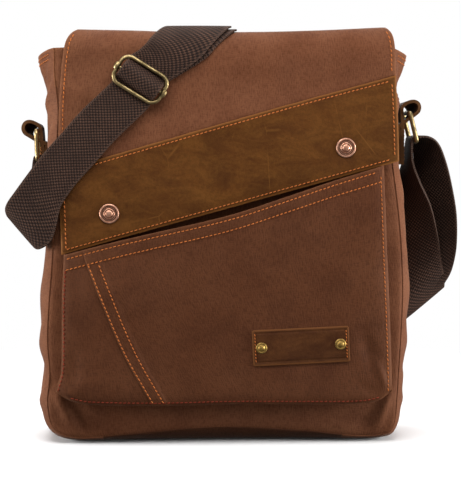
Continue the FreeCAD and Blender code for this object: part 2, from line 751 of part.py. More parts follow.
os.makedirs("parts", exist_ok=True)
for makePieces in (panels, gussets, liningBag, slipPocket, frontPocket, label, snaps, flap, carryingGear, strap):
    for name, shape in makePieces().items():
        shape.exportStep("parts/" + name + ".step")
        print(name, len(shape.Solids), shape.isValid(), round(shape.Volume / 1000, 2))
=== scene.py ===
import bpy
import math
from mathutils import Matrix, Vector, noise
from mathutils.bvhtree import BVHTree


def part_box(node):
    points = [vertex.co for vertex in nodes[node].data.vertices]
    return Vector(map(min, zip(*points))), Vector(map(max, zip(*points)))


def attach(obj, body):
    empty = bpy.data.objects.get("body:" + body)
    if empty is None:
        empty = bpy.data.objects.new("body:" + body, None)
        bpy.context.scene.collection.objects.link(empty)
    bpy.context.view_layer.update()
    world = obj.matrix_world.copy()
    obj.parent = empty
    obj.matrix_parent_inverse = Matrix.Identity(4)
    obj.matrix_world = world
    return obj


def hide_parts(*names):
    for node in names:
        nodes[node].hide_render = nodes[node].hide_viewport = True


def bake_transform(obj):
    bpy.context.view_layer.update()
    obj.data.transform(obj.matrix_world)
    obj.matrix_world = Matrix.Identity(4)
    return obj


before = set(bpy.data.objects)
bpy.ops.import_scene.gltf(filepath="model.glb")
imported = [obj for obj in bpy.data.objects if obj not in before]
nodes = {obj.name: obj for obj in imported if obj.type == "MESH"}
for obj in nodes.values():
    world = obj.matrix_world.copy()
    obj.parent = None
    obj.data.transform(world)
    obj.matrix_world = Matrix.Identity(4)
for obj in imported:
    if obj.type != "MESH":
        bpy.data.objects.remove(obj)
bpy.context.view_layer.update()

# Messenger bag: waxed canvas shell, leather-banded flap, front pocket and webbing strap.
# Lengths are written in millimetres and made metres where a mesh is laid out.

mm = 0.001
scene = bpy.context.scene
print("frame loaded:", len(nodes), "nodes")


def placed(name, data):
    obj = bpy.data.objects.new(name, data)
    scene.collection.objects.link(obj)
    return obj


def deselectAll():
    if bpy.context.mode != "OBJECT":
        bpy.ops.object.mode_set(mode="OBJECT")
    bpy.ops.object.select_all(action="DESELECT")


def pick(obj):
    deselectAll()
    obj.select_set(True)
    bpy.context.view_layer.objects.active = obj


def applyModifier(obj, kind, **settings):
    pick(obj)
    modifier = obj.modifiers.new(kind.title(), kind)
    for key, value in settings.items():
        setattr(modifier, key, value)
    bpy.ops.object.modifier_apply(modifier=modifier.name)


def roundEdges(obj, width):
    applyModifier(obj, "BEVEL", width=width * mm, segments=2, limit_method="ANGLE",
                  angle_limit=math.radians(60))


def smoothEdges(obj, angle=50):
    pick(obj)
    bpy.ops.object.shade_smooth_by_angle(angle=math.radians(angle))


def ease(low, high, value):
    share = min(max((value - low) / (high - low), 0), 1)
    return share * share * (3 - 2 * share)


# a smooth curve through (at, value) pairs, level past its ends
def fitted(points, value):
    if value <= points[0][0]:
        return points[0][1]
    if value >= points[-1][0]:
        return points[-1][1]
    i = 0
    while points[i + 1][0] < value:
        i += 1
    before, a, b, after = points[max(i - 1, 0)], points[i], points[i + 1], points[min(i + 2, len(points) - 1)]
    run = b[0] - a[0]
    slopeA = (b[1] - before[1]) / (b[0] - before[0])
    slopeB = (after[1] - a[1]) / (after[0] - a[0])
    t = (value - a[0]) / run
    return (a[1] * (2 * t ** 3 - 3 * t ** 2 + 1) + slopeA * run * (t ** 3 - 2 * t ** 2 + t)
            + b[1] * (3 * t ** 2 - 2 * t ** 3) + slopeB * run * (t ** 3 - t ** 2))


def ripple(x, y, z, size):
    return noise.noise(Vector((x / size, y / size, z / size)))


# soft ridges in cloth, each from one point to another with its width and height
def foldHeight(a, b, folds):
    total = 0.0
    for a0, b0, a1, b1, width, height in folds:
        runA, runB = a1 - a0, b1 - b0
        share = ((a - a0) * runA + (b - b0) * runB) / (runA * runA + runB * runB)
        held = min(max(share, 0), 1)
        off = math.hypot(a - a0 - held * runA, b - b0 - held * runB)
        if off < width * 3:
            total += height * math.exp(-(off / width) ** 2) * (0.35 + 0.65 * math.sin(math.pi * held))
    return total


# a grid laid out by place(u, v), then given its wall and rounded cut edges
def cloth(name, columns, rows, extent, place, thickness, outward=0.0, edge=0.4):
    deselectAll()
    bpy.ops.mesh.primitive_grid_add(x_subdivisions=columns, y_subdivisions=rows, size=2, calc_uvs=True)
    obj = bpy.context.object
    obj.name = obj.data.name = name
    border = obj.data.attributes.new("border", "FLOAT", "POINT")
    for vertex in obj.data.vertices:
        u, v = (vertex.co.x + 1) / 2, (vertex.co.y + 1) / 2
        border.data[vertex.index].value = min(min(u, 1 - u) * extent[0], min(v, 1 - v) * extent[1])
        vertex.co = Vector(place(u, v)) * mm
    for item in obj.data.uv_layers.active.data:
        item.uv = (item.uv.x * extent[0] * mm, item.uv.y * extent[1] * mm)
    applyModifier(obj, "SOLIDIFY", thickness=thickness * mm, offset=outward * 2 - 1)
    if edge:
        roundEdges(obj, edge)
    smoothEdges(obj)
    return obj


def ownCopy(source, turn):
    copy = source.copy()
    copy.data = source.data.copy()
    scene.collection.objects.link(copy)
    copy.data.transform(turn)
    return copy


def joined(name, parts):
    deselectAll()
    for part in parts:
        part.select_set(True)
    bpy.context.view_layer.objects.active = parts[0]
    bpy.ops.object.join()
    parts[0].name = parts[0].data.name = name
    return parts[0]


def surfaceOf(*objs):
    trees = []
    for obj in objs:
        trees.append(BVHTree.FromPolygons([v.co.copy() for v in obj.data.vertices],
                                          [tuple(p.vertices) for p in obj.data.polygons]))
    return trees


# the nearest spot on any of the skins, going from a point in one direction
def landing(trees, point, direction):
    best = None
    for tree in trees:
        spot, normal, index, distance = tree.ray_cast(Vector(point) * mm, Vector(direction))
        if spot is not None and (best is None or distance < best[2]):
            best = (spot, normal, distance)
    return best


def runLengths(points):
    lengths = [0.0]
    for a, b in zip(points[:-1], points[1:]):
        lengths.append(lengths[-1] + (Vector(b) - Vector(a)).length)
    return lengths


def evenly(points, count):
    lengths = runLengths(points)
    result = []
    i = 0
    for k in range(count + 1):
        goal = lengths[-1] * k / count
        while i < len(points) - 2 and lengths[i + 1] < goal:
            i += 1
        share = (goal - lengths[i]) / (lengths[i + 1] - lengths[i])
        result.append(Vector(points[i]).lerp(Vector(points[i + 1]), share))
    return result


def flowing(points, steps=8):
    points = [Vector(p) for p in points]
    last = len(points) - 1
    result = []
    for i in range(last):
        a, b, c, d = points[max(i - 1, 0)], points[i], points[i + 1], points[min(i + 2, last)]
        for k in range(steps):
            t = k / steps
            eased = b * 2 + (c - a) * t + (a * 2 - b * 5 + c * 4 - d) * t * t
            result.append((eased + (b * 3 - a - c * 3 + d) * t ** 3) / 2)
    return result + [points[-1]]


def freshMaterial(name):
    material = bpy.data.materials.new(name)
    material.use_nodes = True
    return material, material.node_tree, material.node_tree.nodes["Principled BSDF"]


def add(tree, kind, sockets=None, **settings):
    node = tree.nodes.new("ShaderNode" + kind)
    for key, value in settings.items():
        setattr(node, key, value)
    for key, value in (sockets or {}).items():
        if isinstance(value, bpy.types.NodeSocket):
            tree.links.new(value, node.inputs[key])
        else:
            node.inputs[key].default_value = value
    return node


def blended(tree, factor, a, b, how="MIX"):
    node = add(tree, "Mix", {0: factor, 6: a, 7: b}, data_type="RGBA", blend_type=how)
    return node.outputs[2]


def spread(tree, value, low, high, newLow=0.0, newHigh=1.0):
    node = add(tree, "MapRange", {"Value": value, "From Min": low, "From Max": high,
                                  "To Min": newLow, "To Max": newHigh})
    node.clamp = True
    return node.outputs[0]


def grain(tree, place, scale, detail=3.0, roughness=0.5, stretch=(1, 1, 1), distortion=0.0):
    mapped = add(tree, "Mapping", {"Vector": place, "Scale": stretch})
    return add(tree, "TexNoise", {"Vector": mapped.outputs[0], "Scale": scale, "Detail": detail,
                                  "Roughness": roughness, "Distortion": distortion}).outputs[0]


def maths(tree, how, a, b=0.0):
    return add(tree, "Math", {0: a, 1: b}, operation=how).outputs[0]


def rgb(*values):
    return (*values, 1.0)


def bumped(tree, shader, height, strength, distance):
    node = add(tree, "Bump", {"Height": height, "Strength": strength, "Distance": distance})
    tree.links.new(node.outputs[0], shader.inputs["Normal"])


def canvasFinish(name, base, light, dark, worn):
    material, tree, shader = freshMaterial(name)
    where = add(tree, "TexCoord").outputs["Object"]
    uv = add(tree, "UVMap").outputs[0]
    cloudy = spread(tree, grain(tree, where, 13, 5, 0.6), 0.36, 0.66)
    patchy = spread(tree, grain(tree, where, 42, 4, 0.6), 0.42, 0.70)
    warp = grain(tree, uv, 1.0, 2, 0.5, (1000, 200, 1))
    weft = grain(tree, uv, 1.0, 2, 0.5, (240, 1100, 1))
    woven = maths(tree, "ADD", maths(tree, "MULTIPLY", warp, 0.62), maths(tree, "MULTIPLY", weft, 0.38))
    threads = spread(tree, woven, 0.38, 0.62)
    colour = blended(tree, cloudy, base, light)
    colour = blended(tree, maths(tree, "MULTIPLY", patchy, 0.55), colour, dark)
    colour = blended(tree, spread(tree, threads, 0.4, 1, 0.0, 0.42), colour, light)
    colour = blended(tree, spread(tree, threads, 0.5, 0, 0.0, 0.55), colour, dark)
    border = add(tree, "Attribute", attribute_name="border").outputs["Fac"]
    uneven = spread(tree, grain(tree, where, 120, 3), 0.35, 0.6, 0.25, 0.85)
    rubbed = maths(tree, "MULTIPLY", spread(tree, border, 2.6, 0.2), uneven)
    colour = blended(tree, rubbed, colour, worn)
    tree.links.new(colour, shader.inputs["Base Color"])
    tree.links.new(spread(tree, cloudy, 0, 1, 0.78, 0.62), shader.inputs["Roughness"])
    shader.inputs["Specular IOR Level"].default_value = 0.09
    shader.inputs["Sheen Weight"].default_value = 0.10
    shader.inputs["Sheen Roughness"].default_value = 0.35
    shader.inputs["Sheen Tint"].default_value = rgb(1.0, 0.85, 0.75)
    height = maths(tree, "ADD", maths(tree, "MULTIPLY", threads, 0.7), grain(tree, where, 160, 3))
    bumped(tree, shader, height, 0.35, 0.0006)
    return material


def leatherFinish(name, base, pale, dark, rawEdge, scratches=0.0, nick=None):
    material, tree, shader = freshMaterial(name)
    where = add(tree, "TexCoord").outputs["Object"]
    broad = spread(tree, grain(tree, where, 14, 6, 0.66, (1, 1, 1.5), 1.2), 0.32, 0.64)
    mid = spread(tree, grain(tree, where, 46, 7, 0.7, (0.7, 1, 1.6), 0.8), 0.40, 0.66)
    fine = grain(tree, where, 420, 4, 0.6)
    pebbles = add(tree, "TexVoronoi", {"Vector": where, "Scale": 900.0}).outputs["Distance"]
    colour = blended(tree, broad, dark, base)
    colour = blended(tree, maths(tree, "MULTIPLY", mid, 0.55), colour, pale)
    colour = blended(tree, spread(tree, fine, 0.40, 0.66, 0.0, 0.35), colour, dark)
    if scratches:
        slanted = add(tree, "Mapping", {"Vector": where, "Scale": (1, 1, 0.55), "Rotation": (0, 0.6, 0)})
        lines = add(tree, "TexVoronoi", {"Vector": slanted.outputs[0], "Scale": 26.0, "Randomness": 1.0},
                    feature="DISTANCE_TO_EDGE").outputs["Distance"]
        patches = spread(tree, grain(tree, where, 30, 2), 0.54, 0.64, 0.0, scratches)
        scuffs = maths(tree, "MULTIPLY", spread(tree, lines, 0.012, 0.0), patches)
        colour = blended(tree, scuffs, colour, pale)
    if nick:
        nickPlace = add(tree, "Mapping", {"Vector": where, "Location": nick["place"],
                                          "Rotation": (0, nick["turn"], 0)}, vector_type="TEXTURE")
        sides = add(tree, "SeparateXYZ", {0: nickPlace.outputs[0]})
        ragged = maths(tree, "MULTIPLY", grain(tree, where, 300, 2), 0.0006)
        off = maths(tree, "ADD", maths(tree, "ABSOLUTE", sides.outputs[2]), ragged)
        length = spread(tree, maths(tree, "ABSOLUTE", sides.outputs[0]), nick["half"], nick["half"] * 0.7)
        scored = maths(tree, "MULTIPLY", spread(tree, off, 0.0009, 0.0004, 0, 0.8), length)
        colour = blended(tree, scored, colour, pale)
    border = add(tree, "Attribute", attribute_name="border").outputs["Fac"]
    colour = blended(tree, spread(tree, border, 1.9, 0.5, 0.0, 0.85), colour, rawEdge)
    tree.links.new(colour, shader.inputs["Base Color"])
    tree.links.new(spread(tree, mid, 0, 1, 0.66, 0.54), shader.inputs["Roughness"])
    shader.inputs["Specular IOR Level"].default_value = 0.06
    height = maths(tree, "ADD", maths(tree, "MULTIPLY", pebbles, 0.5), maths(tree, "MULTIPLY", fine, 0.8))
    bumped(tree, shader, height, 0.30, 0.0006)
    return material


def webbingFinish(name, base, fleck, selvage, cells):
    material, tree, shader = freshMaterial(name)
    uv = add(tree, "UVMap").outputs[0]
    parts = add(tree, "SeparateXYZ", {0: uv})
    across, along = parts.outputs[0], parts.outputs[1]
    wide = maths(tree, "SINE", maths(tree, "MULTIPLY", across, math.pi / (cells["across"] * mm)))
    tall = maths(tree, "SINE", maths(tree, "MULTIPLY", along, math.pi / (cells["along"] * mm)))
    knots = maths(tree, "MULTIPLY", wide, tall)
    raised = spread(tree, knots, -0.3, 0.7)
    off = maths(tree, "ABSOLUTE", maths(tree, "SUBTRACT", across, cells["width"] * mm / 2))
    rim = spread(tree, off, (cells["width"] / 2 - 2.0) * mm, (cells["width"] / 2 - 1.6) * mm)
    turns = maths(tree, "MULTIPLY", along, 2 * math.pi / (cells["along"] * mm))
    slanted = maths(tree, "ADD", turns, maths(tree, "MULTIPLY", off, 2200.0))
    twist = spread(tree, maths(tree, "SINE", slanted), -0.3, 0.8)
    where = add(tree, "TexCoord").outputs["Object"]
    dusty = spread(tree, grain(tree, where, 60, 4), 0.35, 0.7, 0.55, 1.0)
    colour = blended(tree, maths(tree, "MULTIPLY", raised, dusty), base, fleck)
    colour = blended(tree, maths(tree, "MULTIPLY", rim, twist), colour, selvage)
    tree.links.new(colour, shader.inputs["Base Color"])
    shader.inputs["Roughness"].default_value = 0.72
    shader.inputs["Specular IOR Level"].default_value = 0.13
    height = blended(tree, rim, raised, twist)
    bumped(tree, shader, height, 0.6, 0.0005)
    return material


def metalFinish(name, bright, dull, roughness, mottle=160.0):
    material, tree, shader = freshMaterial(name)
    where = add(tree, "TexCoord").outputs["Object"]
    tarnish = spread(tree, grain(tree, where, mottle, 5, 0.65), 0.40, 0.66)
    fine = grain(tree, where, 900, 2)
    colour = blended(tree, tarnish, bright, dull)
    hollow = add(tree, "Attribute", attribute_name="hollow").outputs["Fac"]
    deep = rgb(*(part * 0.25 for part in dull[:3]))
    colour = blended(tree, maths(tree, "MULTIPLY", hollow, 0.85), colour, deep)
    tree.links.new(colour, shader.inputs["Base Color"])
    shader.inputs["Metallic"].default_value = 1.0
    tree.links.new(spread(tree, tarnish, 0, 1, roughness, roughness + 0.18), shader.inputs["Roughness"])
    bumped(tree, shader, fine, 0.10, 0.0002)
    return material


def threadFinish(name, base, light):
    material, tree, shader = freshMaterial(name)
    where = add(tree, "TexCoord").outputs["Object"]
    slanted = add(tree, "Mapping", {"Vector": where, "Rotation": (0.5, 0.5, 0.5)}).outputs[0]
    twist = add(tree, "TexWave", {"Vector": slanted, "Scale": 420.0, "Distortion": 1.5}).outputs["Fac"]
    tree.links.new(blended(tree, twist, base, light), shader.inputs["Base Color"])
    shader.inputs["Roughness"].default_value = 0.75
    shader.inputs["Specular IOR Level"].default_value = 0.1
    bumped(tree, shader, twist, 0.3, 0.0002)
    return material


# four shades each: the body, its paler and darker parts, and the worn or cut edge
canvasShades = {
    "canvas": ("waxed canvas", (0.124, 0.0425, 0.0175), (0.158, 0.0600, 0.0275),
               (0.074, 0.0225, 0.0090), (0.190, 0.072, 0.030)),
    # the base panel's canvas: the body canvas darkened to about half, painted shade for the shadowed underside
    # below the front seam
    "shadedBaseCanvas": ("base canvas with painted shade", (0.052, 0.0170, 0.0068), (0.068, 0.0240, 0.0100),
                   (0.030, 0.0092, 0.0036), (0.080, 0.030, 0.012)),
    # the pocket's canvas: the same fabric as the body, made darker and more saturated, painted shade for the
    # lower front that gets less light
    "shadedPocketCanvas": ("pocket canvas with painted shade", (0.078, 0.0252, 0.0094), (0.099, 0.0350, 0.0140),
                     (0.046, 0.0137, 0.0051), (0.130, 0.047, 0.018)),
    "lining": ("cotton lining", (0.105, 0.070, 0.042), (0.13, 0.09, 0.056),
               (0.07, 0.045, 0.026), (0.14, 0.10, 0.06)),
}
leatherShades = {
    "leather": ("oiled leather", (0.090, 0.0315, 0.0068), (0.140, 0.056, 0.0122),
                (0.044, 0.0142, 0.0035), (0.205, 0.078, 0.019)),
    "darkLeather": ("label leather", (0.074, 0.0255, 0.0085), (0.115, 0.044, 0.014),
                    (0.032, 0.0105, 0.0040), (0.145, 0.056, 0.018)),
    "tabLeather": ("tab leather", (0.050, 0.0195, 0.0068), (0.082, 0.035, 0.0120),
                   (0.024, 0.0092, 0.0037), (0.085, 0.037, 0.013)),
}
nick = {"place": (0.1186, 0.0, 0.2548), "turn": 0.905, "half": 0.0152}
wear = {"leather": {"scratches": 0.75, "nick": nick}}
finishes = {
    "webbing": webbingFinish("woven strap", rgb(0.0110, 0.0055, 0.0038), rgb(0.086, 0.0430, 0.0275),
                             rgb(0.070, 0.040, 0.028), {"across": 1.68, "along": 1.62, "width": 37.0}),
    "brass": metalFinish("antique brass", rgb(0.33, 0.245, 0.115), rgb(0.12, 0.086, 0.038), 0.33),
    "copper": metalFinish("antique copper", rgb(0.66, 0.36, 0.245), rgb(0.34, 0.155, 0.095), 0.34, 400.0),
    "rivetBrass": metalFinish("rivet brass", rgb(0.34, 0.215, 0.060), rgb(0.11, 0.062, 0.020), 0.42, 300.0),
    "thread": threadFinish("orange thread", rgb(0.30, 0.075, 0.016), rgb(0.52, 0.165, 0.042)),
    "redThread": threadFinish("dark red thread", rgb(0.115, 0.013, 0.006), rgb(0.20, 0.034, 0.014)),
}
for key, (name, *shades) in canvasShades.items():
    finishes[key] = canvasFinish(name, *(rgb(*shade) for shade in shades))
for key, (name, *shades) in leatherShades.items():
    finishes[key] = leatherFinish(name, *(rgb(*shade) for shade in shades), **wear.get(key, {}))


def dress(obj, finish, body=None, stands=()):
    obj.data.materials.clear()
    obj.data.materials.append(finishes[finish])
    if body:
        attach(obj, body)
    if stands:
        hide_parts(*stands)
    return obj


def makeBead():
    deselectAll()
    bpy.ops.mesh.primitive_uv_sphere_add(segments=6, ring_count=5, radius=1)
    obj = bpy.context.object
    obj.data.transform(Matrix.Rotation(math.pi / 2, 4, "Y"))
    corners = [v.co.copy() for v in obj.data.vertices]
    faces = [tuple(p.vertices) for p in obj.data.polygons]
    bpy.data.objects.remove(obj)
    return corners, faces


beadCorners, beadFaces = makeBead()
threadShape = {"radius": 0.5, "share": 0.80, "sunk": 0.45, "slant": 0.16}


def stitchRow(name, trees, lines, direction, finish, body, pitch=3.6, radius=None, back=200):
    radius = radius or threadShape["radius"]
    direction = Vector(direction)
    corners, faces = [], []
    for points in lines:
        run = evenly(points, max(int(runLengths(points)[-1] / pitch), 1))
        for a, b in zip(run[:-1], run[1:]):
            start = a.lerp(b, 0.5 - threadShape["share"] / 2)
            end = a.lerp(b, 0.5 + threadShape["share"] / 2)
            first = landing(trees, start - direction * back, direction)
            second = landing(trees, end - direction * back, direction)
            if first is None or second is None or (first[0] - second[0]).length > pitch * mm * 1.6:
                continue
            up = (first[1] + second[1]).normalized()
            if up.dot(direction) > 0:
                up = -up
            along = (second[0] - first[0])
            half = along.length / 2
            along.normalize()
            side = up.cross(along).normalized()
            along = (along + side * threadShape["slant"]).normalized()
            side = up.cross(along).normalized()
            up = along.cross(side)
            middle = (first[0] + second[0]) / 2 + up * radius * mm * threadShape["sunk"]
            start = len(corners)
            for p in beadCorners:
                corners.append(middle + along * p.x * half + side * p.y * radius * mm
                               + up * (p.z - 0.8 * p.x ** 4) * radius * mm)
            faces.extend(tuple(start + i for i in face) for face in beadFaces)
    mesh = bpy.data.meshes.new(name)
    mesh.from_pydata([tuple(c) for c in corners], [], faces)
    mesh.shade_smooth()
    return dress(placed(name, mesh), finish, body)


view = {"target": (0.008, 0.0, 0.170), "distance": 1.56, "left": 2.5, "up": 4.0, "lens": 141.1}
aim = Vector(view["target"])
left, up = math.radians(view["left"]), math.radians(view["up"])
away = Vector((-math.sin(left) * math.cos(up), -math.cos(left) * math.cos(up), math.sin(up)))
cameraData = bpy.data.cameras.new("camera")
cameraData.lens = view["lens"]
cameraData.sensor_fit = "HORIZONTAL"
cameraData.sensor_width = 36
camera = placed("camera", cameraData)
camera.location = aim + away * view["distance"]
camera.rotation_euler = (-away).to_track_quat("-Z", "Y").to_euler()
scene.camera = camera

lights = {
    "key": {"place": (-0.10, -0.44, 0.76), "size": (0.8, 0.35), "power": 5.6},
    "fill": {"place": (1.3, -1.0, 0.5), "size": (0.9, 0.9), "power": 3.4},
    "left side": {"place": (-1.0, -0.14, 0.20), "size": (0.5, 0.4), "power": 12.0},
    "right side": {"place": (1.0, -0.22, 0.20), "size": (0.5, 0.4), "power": 14.0},
    "top": {"place": (0.0, 0.25, 1.2), "size": (1.2, 0.6), "power": 8.0},
    "back": {"place": (0.2, 1.3, 0.8), "size": (0.9, 0.7), "power": 6.0},
}
for name, value in lights.items():
    data = bpy.data.lights.new(name, "AREA")
    data.shape = "RECTANGLE"
    data.size, data.size_y = value["size"]
    data.energy = value["power"]
    lamp = placed(name, data)
    lamp.location = value["place"]
    lamp.rotation_euler = (Vector((0, 0, 0.17)) - lamp.location).to_track_quat("-Z", "Y").to_euler()

ambient = 0.17
world = bpy.data.worlds.new("studio")
scene.world = world
world.use_nodes = True
tree = world.node_tree
path = add(tree, "LightPath")
seen = maths(tree, "MAXIMUM", path.outputs["Is Camera Ray"], path.outputs["Is Transmission Ray"])
seen = maths(tree, "MAXIMUM", seen, maths(tree, "MULTIPLY", path.outputs["Is Glossy Ray"], 0.5))
tree.nodes["Background"].inputs["Color"].default_value = (1, 1, 1, 1)
tree.links.new(spread(tree, seen, 0, 1, ambient, 1.0), tree.nodes["Background"].inputs["Strength"])

deselectAll()
bpy.ops.mesh.primitive_circle_add(vertices=96, radius=3.0, fill_type="NGON", location=(0, 0, 0))
floor = bpy.context.object
floor.name = "floor"
material, tree, shader = freshMaterial("studio floor")
shader.inputs["Roughness"].default_value = 0.9
shader.inputs["Specular IOR Level"].default_value = 0.0
glow = add(tree, "Emission", {"Color": rgb(1, 1, 1), "Strength": 1.0})
path = add(tree, "LightPath")
floorShade = blended(tree, path.outputs["Is Camera Ray"], rgb(0.20, 0.20, 0.20), rgb(0.95, 0.95, 0.95))
tree.links.new(floorShade, shader.inputs["Base Color"])
where = add(tree, "TexCoord").outputs["Object"]
reach = add(tree, "VectorMath", {0: where}, operation="LENGTH").outputs["Value"]
fading = maths(tree, "MULTIPLY", spread(tree, reach, 0.22, 0.62), path.outputs["Is Camera Ray"])
mixed = add(tree, "MixShader", {0: fading, 1: shader.outputs[0], 2: glow.outputs[0]})
tree.links.new(mixed.outputs[0], tree.nodes["Material Output"].inputs["Surface"])
floor.data.materials.append(material)
scene.view_settings.view_transform = "Standard"
print("camera, floor and lights ready")


shell = {
    "outline": [(-157, 330), (-153.5, 309), (-149.5, 291), (-147.3, 274), (-147, 240), (-147.6, 200),
                (-150.2, 150), (-152.8, 115), (-153.8, 86), (-151.8, 60), (-153.8, 38), (-151.8, 21),
                (-147.2, 11.2), (-139, 4.8), (-127, 2.1), (-110, 1.4), (-60, 1.3), (0, 1.3), (60, 1.3),
                (116, 1.4), (134, 1.9), (144, 4.4), (149.0, 11.2), (151.8, 21), (153.4, 38), (154.8, 60),
                (157.2, 100), (158.2, 133), (156.8, 170), (153.8, 203), (150, 232), (149, 250),
                (149.5, 274), (151, 292), (154.5, 312), (159, 327.5)],
    "lowCorner": (146.5, 9.5), "halfDepth": 41.6, "panel": (290, 330), "baseSeam": 100,
    "seamIn": [(0, 6.0), (40, 6.5), (200, 7.5), (240, 8), (300, 13), (327, 17)],
    "roundness": [(0, 4.5), (240, 5.0), (300, 3.2), (327, 2.6)],
    "frontLift": [(-150, 6.0), (-118, 4.2), (-70, 8.0), (0, 12.5), (70, 9.0), (115, 4.5), (150, 6.0)],
    "backLift": [(-150, 6.0), (-118, 4.0), (0, 7.0), (115, 4.0), (150, 6.0)],
    "canvas": 1.3, "earDrop": (7.0, 2.0), "crease": 5.0,
    "sideCount": 108, "baseCount": 96, "acrossCount": 30, "pitch": 3.0,
    "gussetFolds": [(-33, 322, -14, 286, 5, -4.2), (-41, 316, -28, 292, 3.4, -4.6),
                    (-41, 300, -24, 282, 3.0, 3.2), (-41, 276, -22, 262, 4.0, -2.4),
                    (26, 304, 4, 268, 6, -3.4), (-34, 92, -12, 74, 7, 2.2), (-36, 62, -14, 66, 6, -2.6),
                    (-34, 148, -18, 118, 8, 1.8), (20, 120, 30, 70, 9, 1.6), (-38, 40, -16, 30, 5, 2.4),
                    (-40, 190, -20, 160, 7, -1.6), (-38, 118, -20, 98, 6, -2.2),
                    (-40, 225, -12, 200, 7, 1.5), (10, 60, 30, 36, 8, -1.6),
                    (-10, 330, -16, 290, 4, -2.6)],
    "ripple": 1.5,
}


def outlineRun():
    line = flowing([(x, z, 0) for x, z in shell["outline"]], 12)
    x, z = shell["lowCorner"]
    corner = []
    for side in (-1, 1):
        beside = [i for i, point in enumerate(line) if point.x * side > 0]
        corner.append(min(beside, key=lambda i: abs(abs(line[i].x) - x) + abs(line[i].y - z)))
    parts = (line[:corner[0] + 1], line[corner[0]:corner[1] + 1], line[corner[1]:])
    run = []
    for part, count in zip(parts, (shell["sideCount"], shell["baseCount"], shell["sideCount"])):
        run += evenly(part, count)[1 if run else 0:]
    return run


outlinePoints = outlineRun()
outlineTotal = len(outlinePoints) - 1


def shellPoint(index, t, inset=0.0, depth=None):
    low = int(min(max(math.floor(index), 0), outlineTotal - 1))
    share = index - low
    here = outlinePoints[low].lerp(outlinePoints[low + 1], share)
    before, after = outlinePoints[max(low - 1, 0)], outlinePoints[min(low + 2, outlineTotal)]
    tangent = (after - before).normalized()
    inward = Vector((-tangent.y, tangent.x, 0))
    drop = shell["earDrop"][0] if here.x < 0 else shell["earDrop"][1]
    height = here.y - drop * (1 - t * t) ** 2 * ease(296, 330, here.y)
    upright = ease(4, 26, height)
    lift = fitted(shell["frontLift"] if t < 0 else shell["backLift"], here.x)
    seam = fitted(shell["seamIn"], height) * upright + lift * (1 - upright)
    power = fitted(shell["roundness"], height) * upright + 5 * (1 - upright)
    depth = depth or shell["halfDepth"]
    y = depth * t
    reach = seam * abs(t) ** power + inset
    soft = (1 - t * t) * upright
    # the open top folds right up to its seams
    edgeGrip = soft + (upright * (1 - t ** 6) - soft) * ease(240, 262, height)
    reach -= foldHeight(y, height, shell["gussetFolds"]) * edgeGrip
    reach += shell["ripple"] * ripple(here.x, y * 0.8, height, 34) * soft
    crease = ease(60, 140, height) * (1 - ease(205, 225, height)) + ease(272, 300, height) * 1.3
    reach += upright * shell["crease"] * crease * math.exp(-(y / 7) ** 2)
    reach += soft * 2.2 * ease(180, 300, height) * math.cos(y / depth * math.pi / 2) ** 2
    return here.x + inward.x * reach, y, height + inward.y * reach


def gussetPiece(name, first, last):
    steps = last - first
    return cloth(name, steps, shell["acrossCount"], (steps * shell["pitch"], 88),
                 lambda u, v: shellPoint(first + (last - first) * u, softened(v)), shell["canvas"])


def softened(v):
    t = v * 2 - 1
    return math.copysign(1 - (1 - abs(t)) ** 1.25, t)


def panelPiece(name, side, inset, y, bulge, folds, top, thickness, ripples=0.8, skip=0):
    a, b = shell["sideCount"], shell["sideCount"] + shell["baseCount"]
    first, final = skip, outlineTotal - skip
    width, height = shell["panel"]

    def edge(index):
        x, _, z = shellPoint(index, side, inset, y)
        return Vector((x, z, 0))

    columns, rows = shell["baseCount"], shell["sideCount"]
    bottom = [edge(a + (b - a) * i / columns) for i in range(columns + 1)]
    lefts = [edge(a - (a - first) * i / rows) for i in range(rows + 1)]
    rights = [edge(b + (final - b) * i / rows) for i in range(rows + 1)]
    corners = (bottom[0], bottom[-1], lefts[-1], rights[-1])

    def place(u, v):
        if side > 0:
            u = 1 - u
        i, j = round(u * columns), round(v * rows)
        topPoint = corners[2].lerp(corners[3], u)
        topPoint.y += fitted(top, topPoint.x)
        leftPoint, rightPoint = lefts[j], rights[j]
        sides = bottom[i] * (1 - v) + topPoint * v + leftPoint * (1 - u) + rightPoint * u
        flat = sides - (corners[0] * (1 - u) * (1 - v) + corners[1] * u * (1 - v)
                        + corners[2] * (1 - u) * v + corners[3] * u * v)
        near = min(u * width, (1 - u) * width, v * height)
        full = 1 - math.exp(-near / 2.4)
        rumple = foldHeight(flat.x, flat.y, folds) + ripples * ripple(flat.x, side * 40, flat.y, 42)
        out = bulge * full + full * rumple
        return flat.x, side * (y + out), flat.y

    return cloth(name, columns, rows, (width, height), place, thickness)


frontTop = [(-140, 0), (-124, 1.0), (-92, 7), (0, 8), (92, 7), (124, 1.0), (140, 0)]
backTop = [(-140, 0), (-118, 2), (-92, 12), (0, 14), (92, 12), (118, 2), (140, 0)]
frontFolds = [(-142, 46, -124, 10, 4.0, 3.6), (-130, 34, -112, 8, 5.0, -1.6), (-118, 34, -96, 16, 5, 2.6),
              (-146, 60, -143, 40, 4, -1.6), (-100, 24, -60, 17, 6, 1.0), (20, 26, 70, 20, 8, 0.9),
              (143, 46, 130, 12, 4, 3.0), (128, 26, 112, 9, 5, -1.5)]
backFolds = [(-120, 60, -60, 30, 8, 1.0), (90, 80, 130, 30, 8, 1.2), (-100, 250, -60, 200, 10, -0.8)]

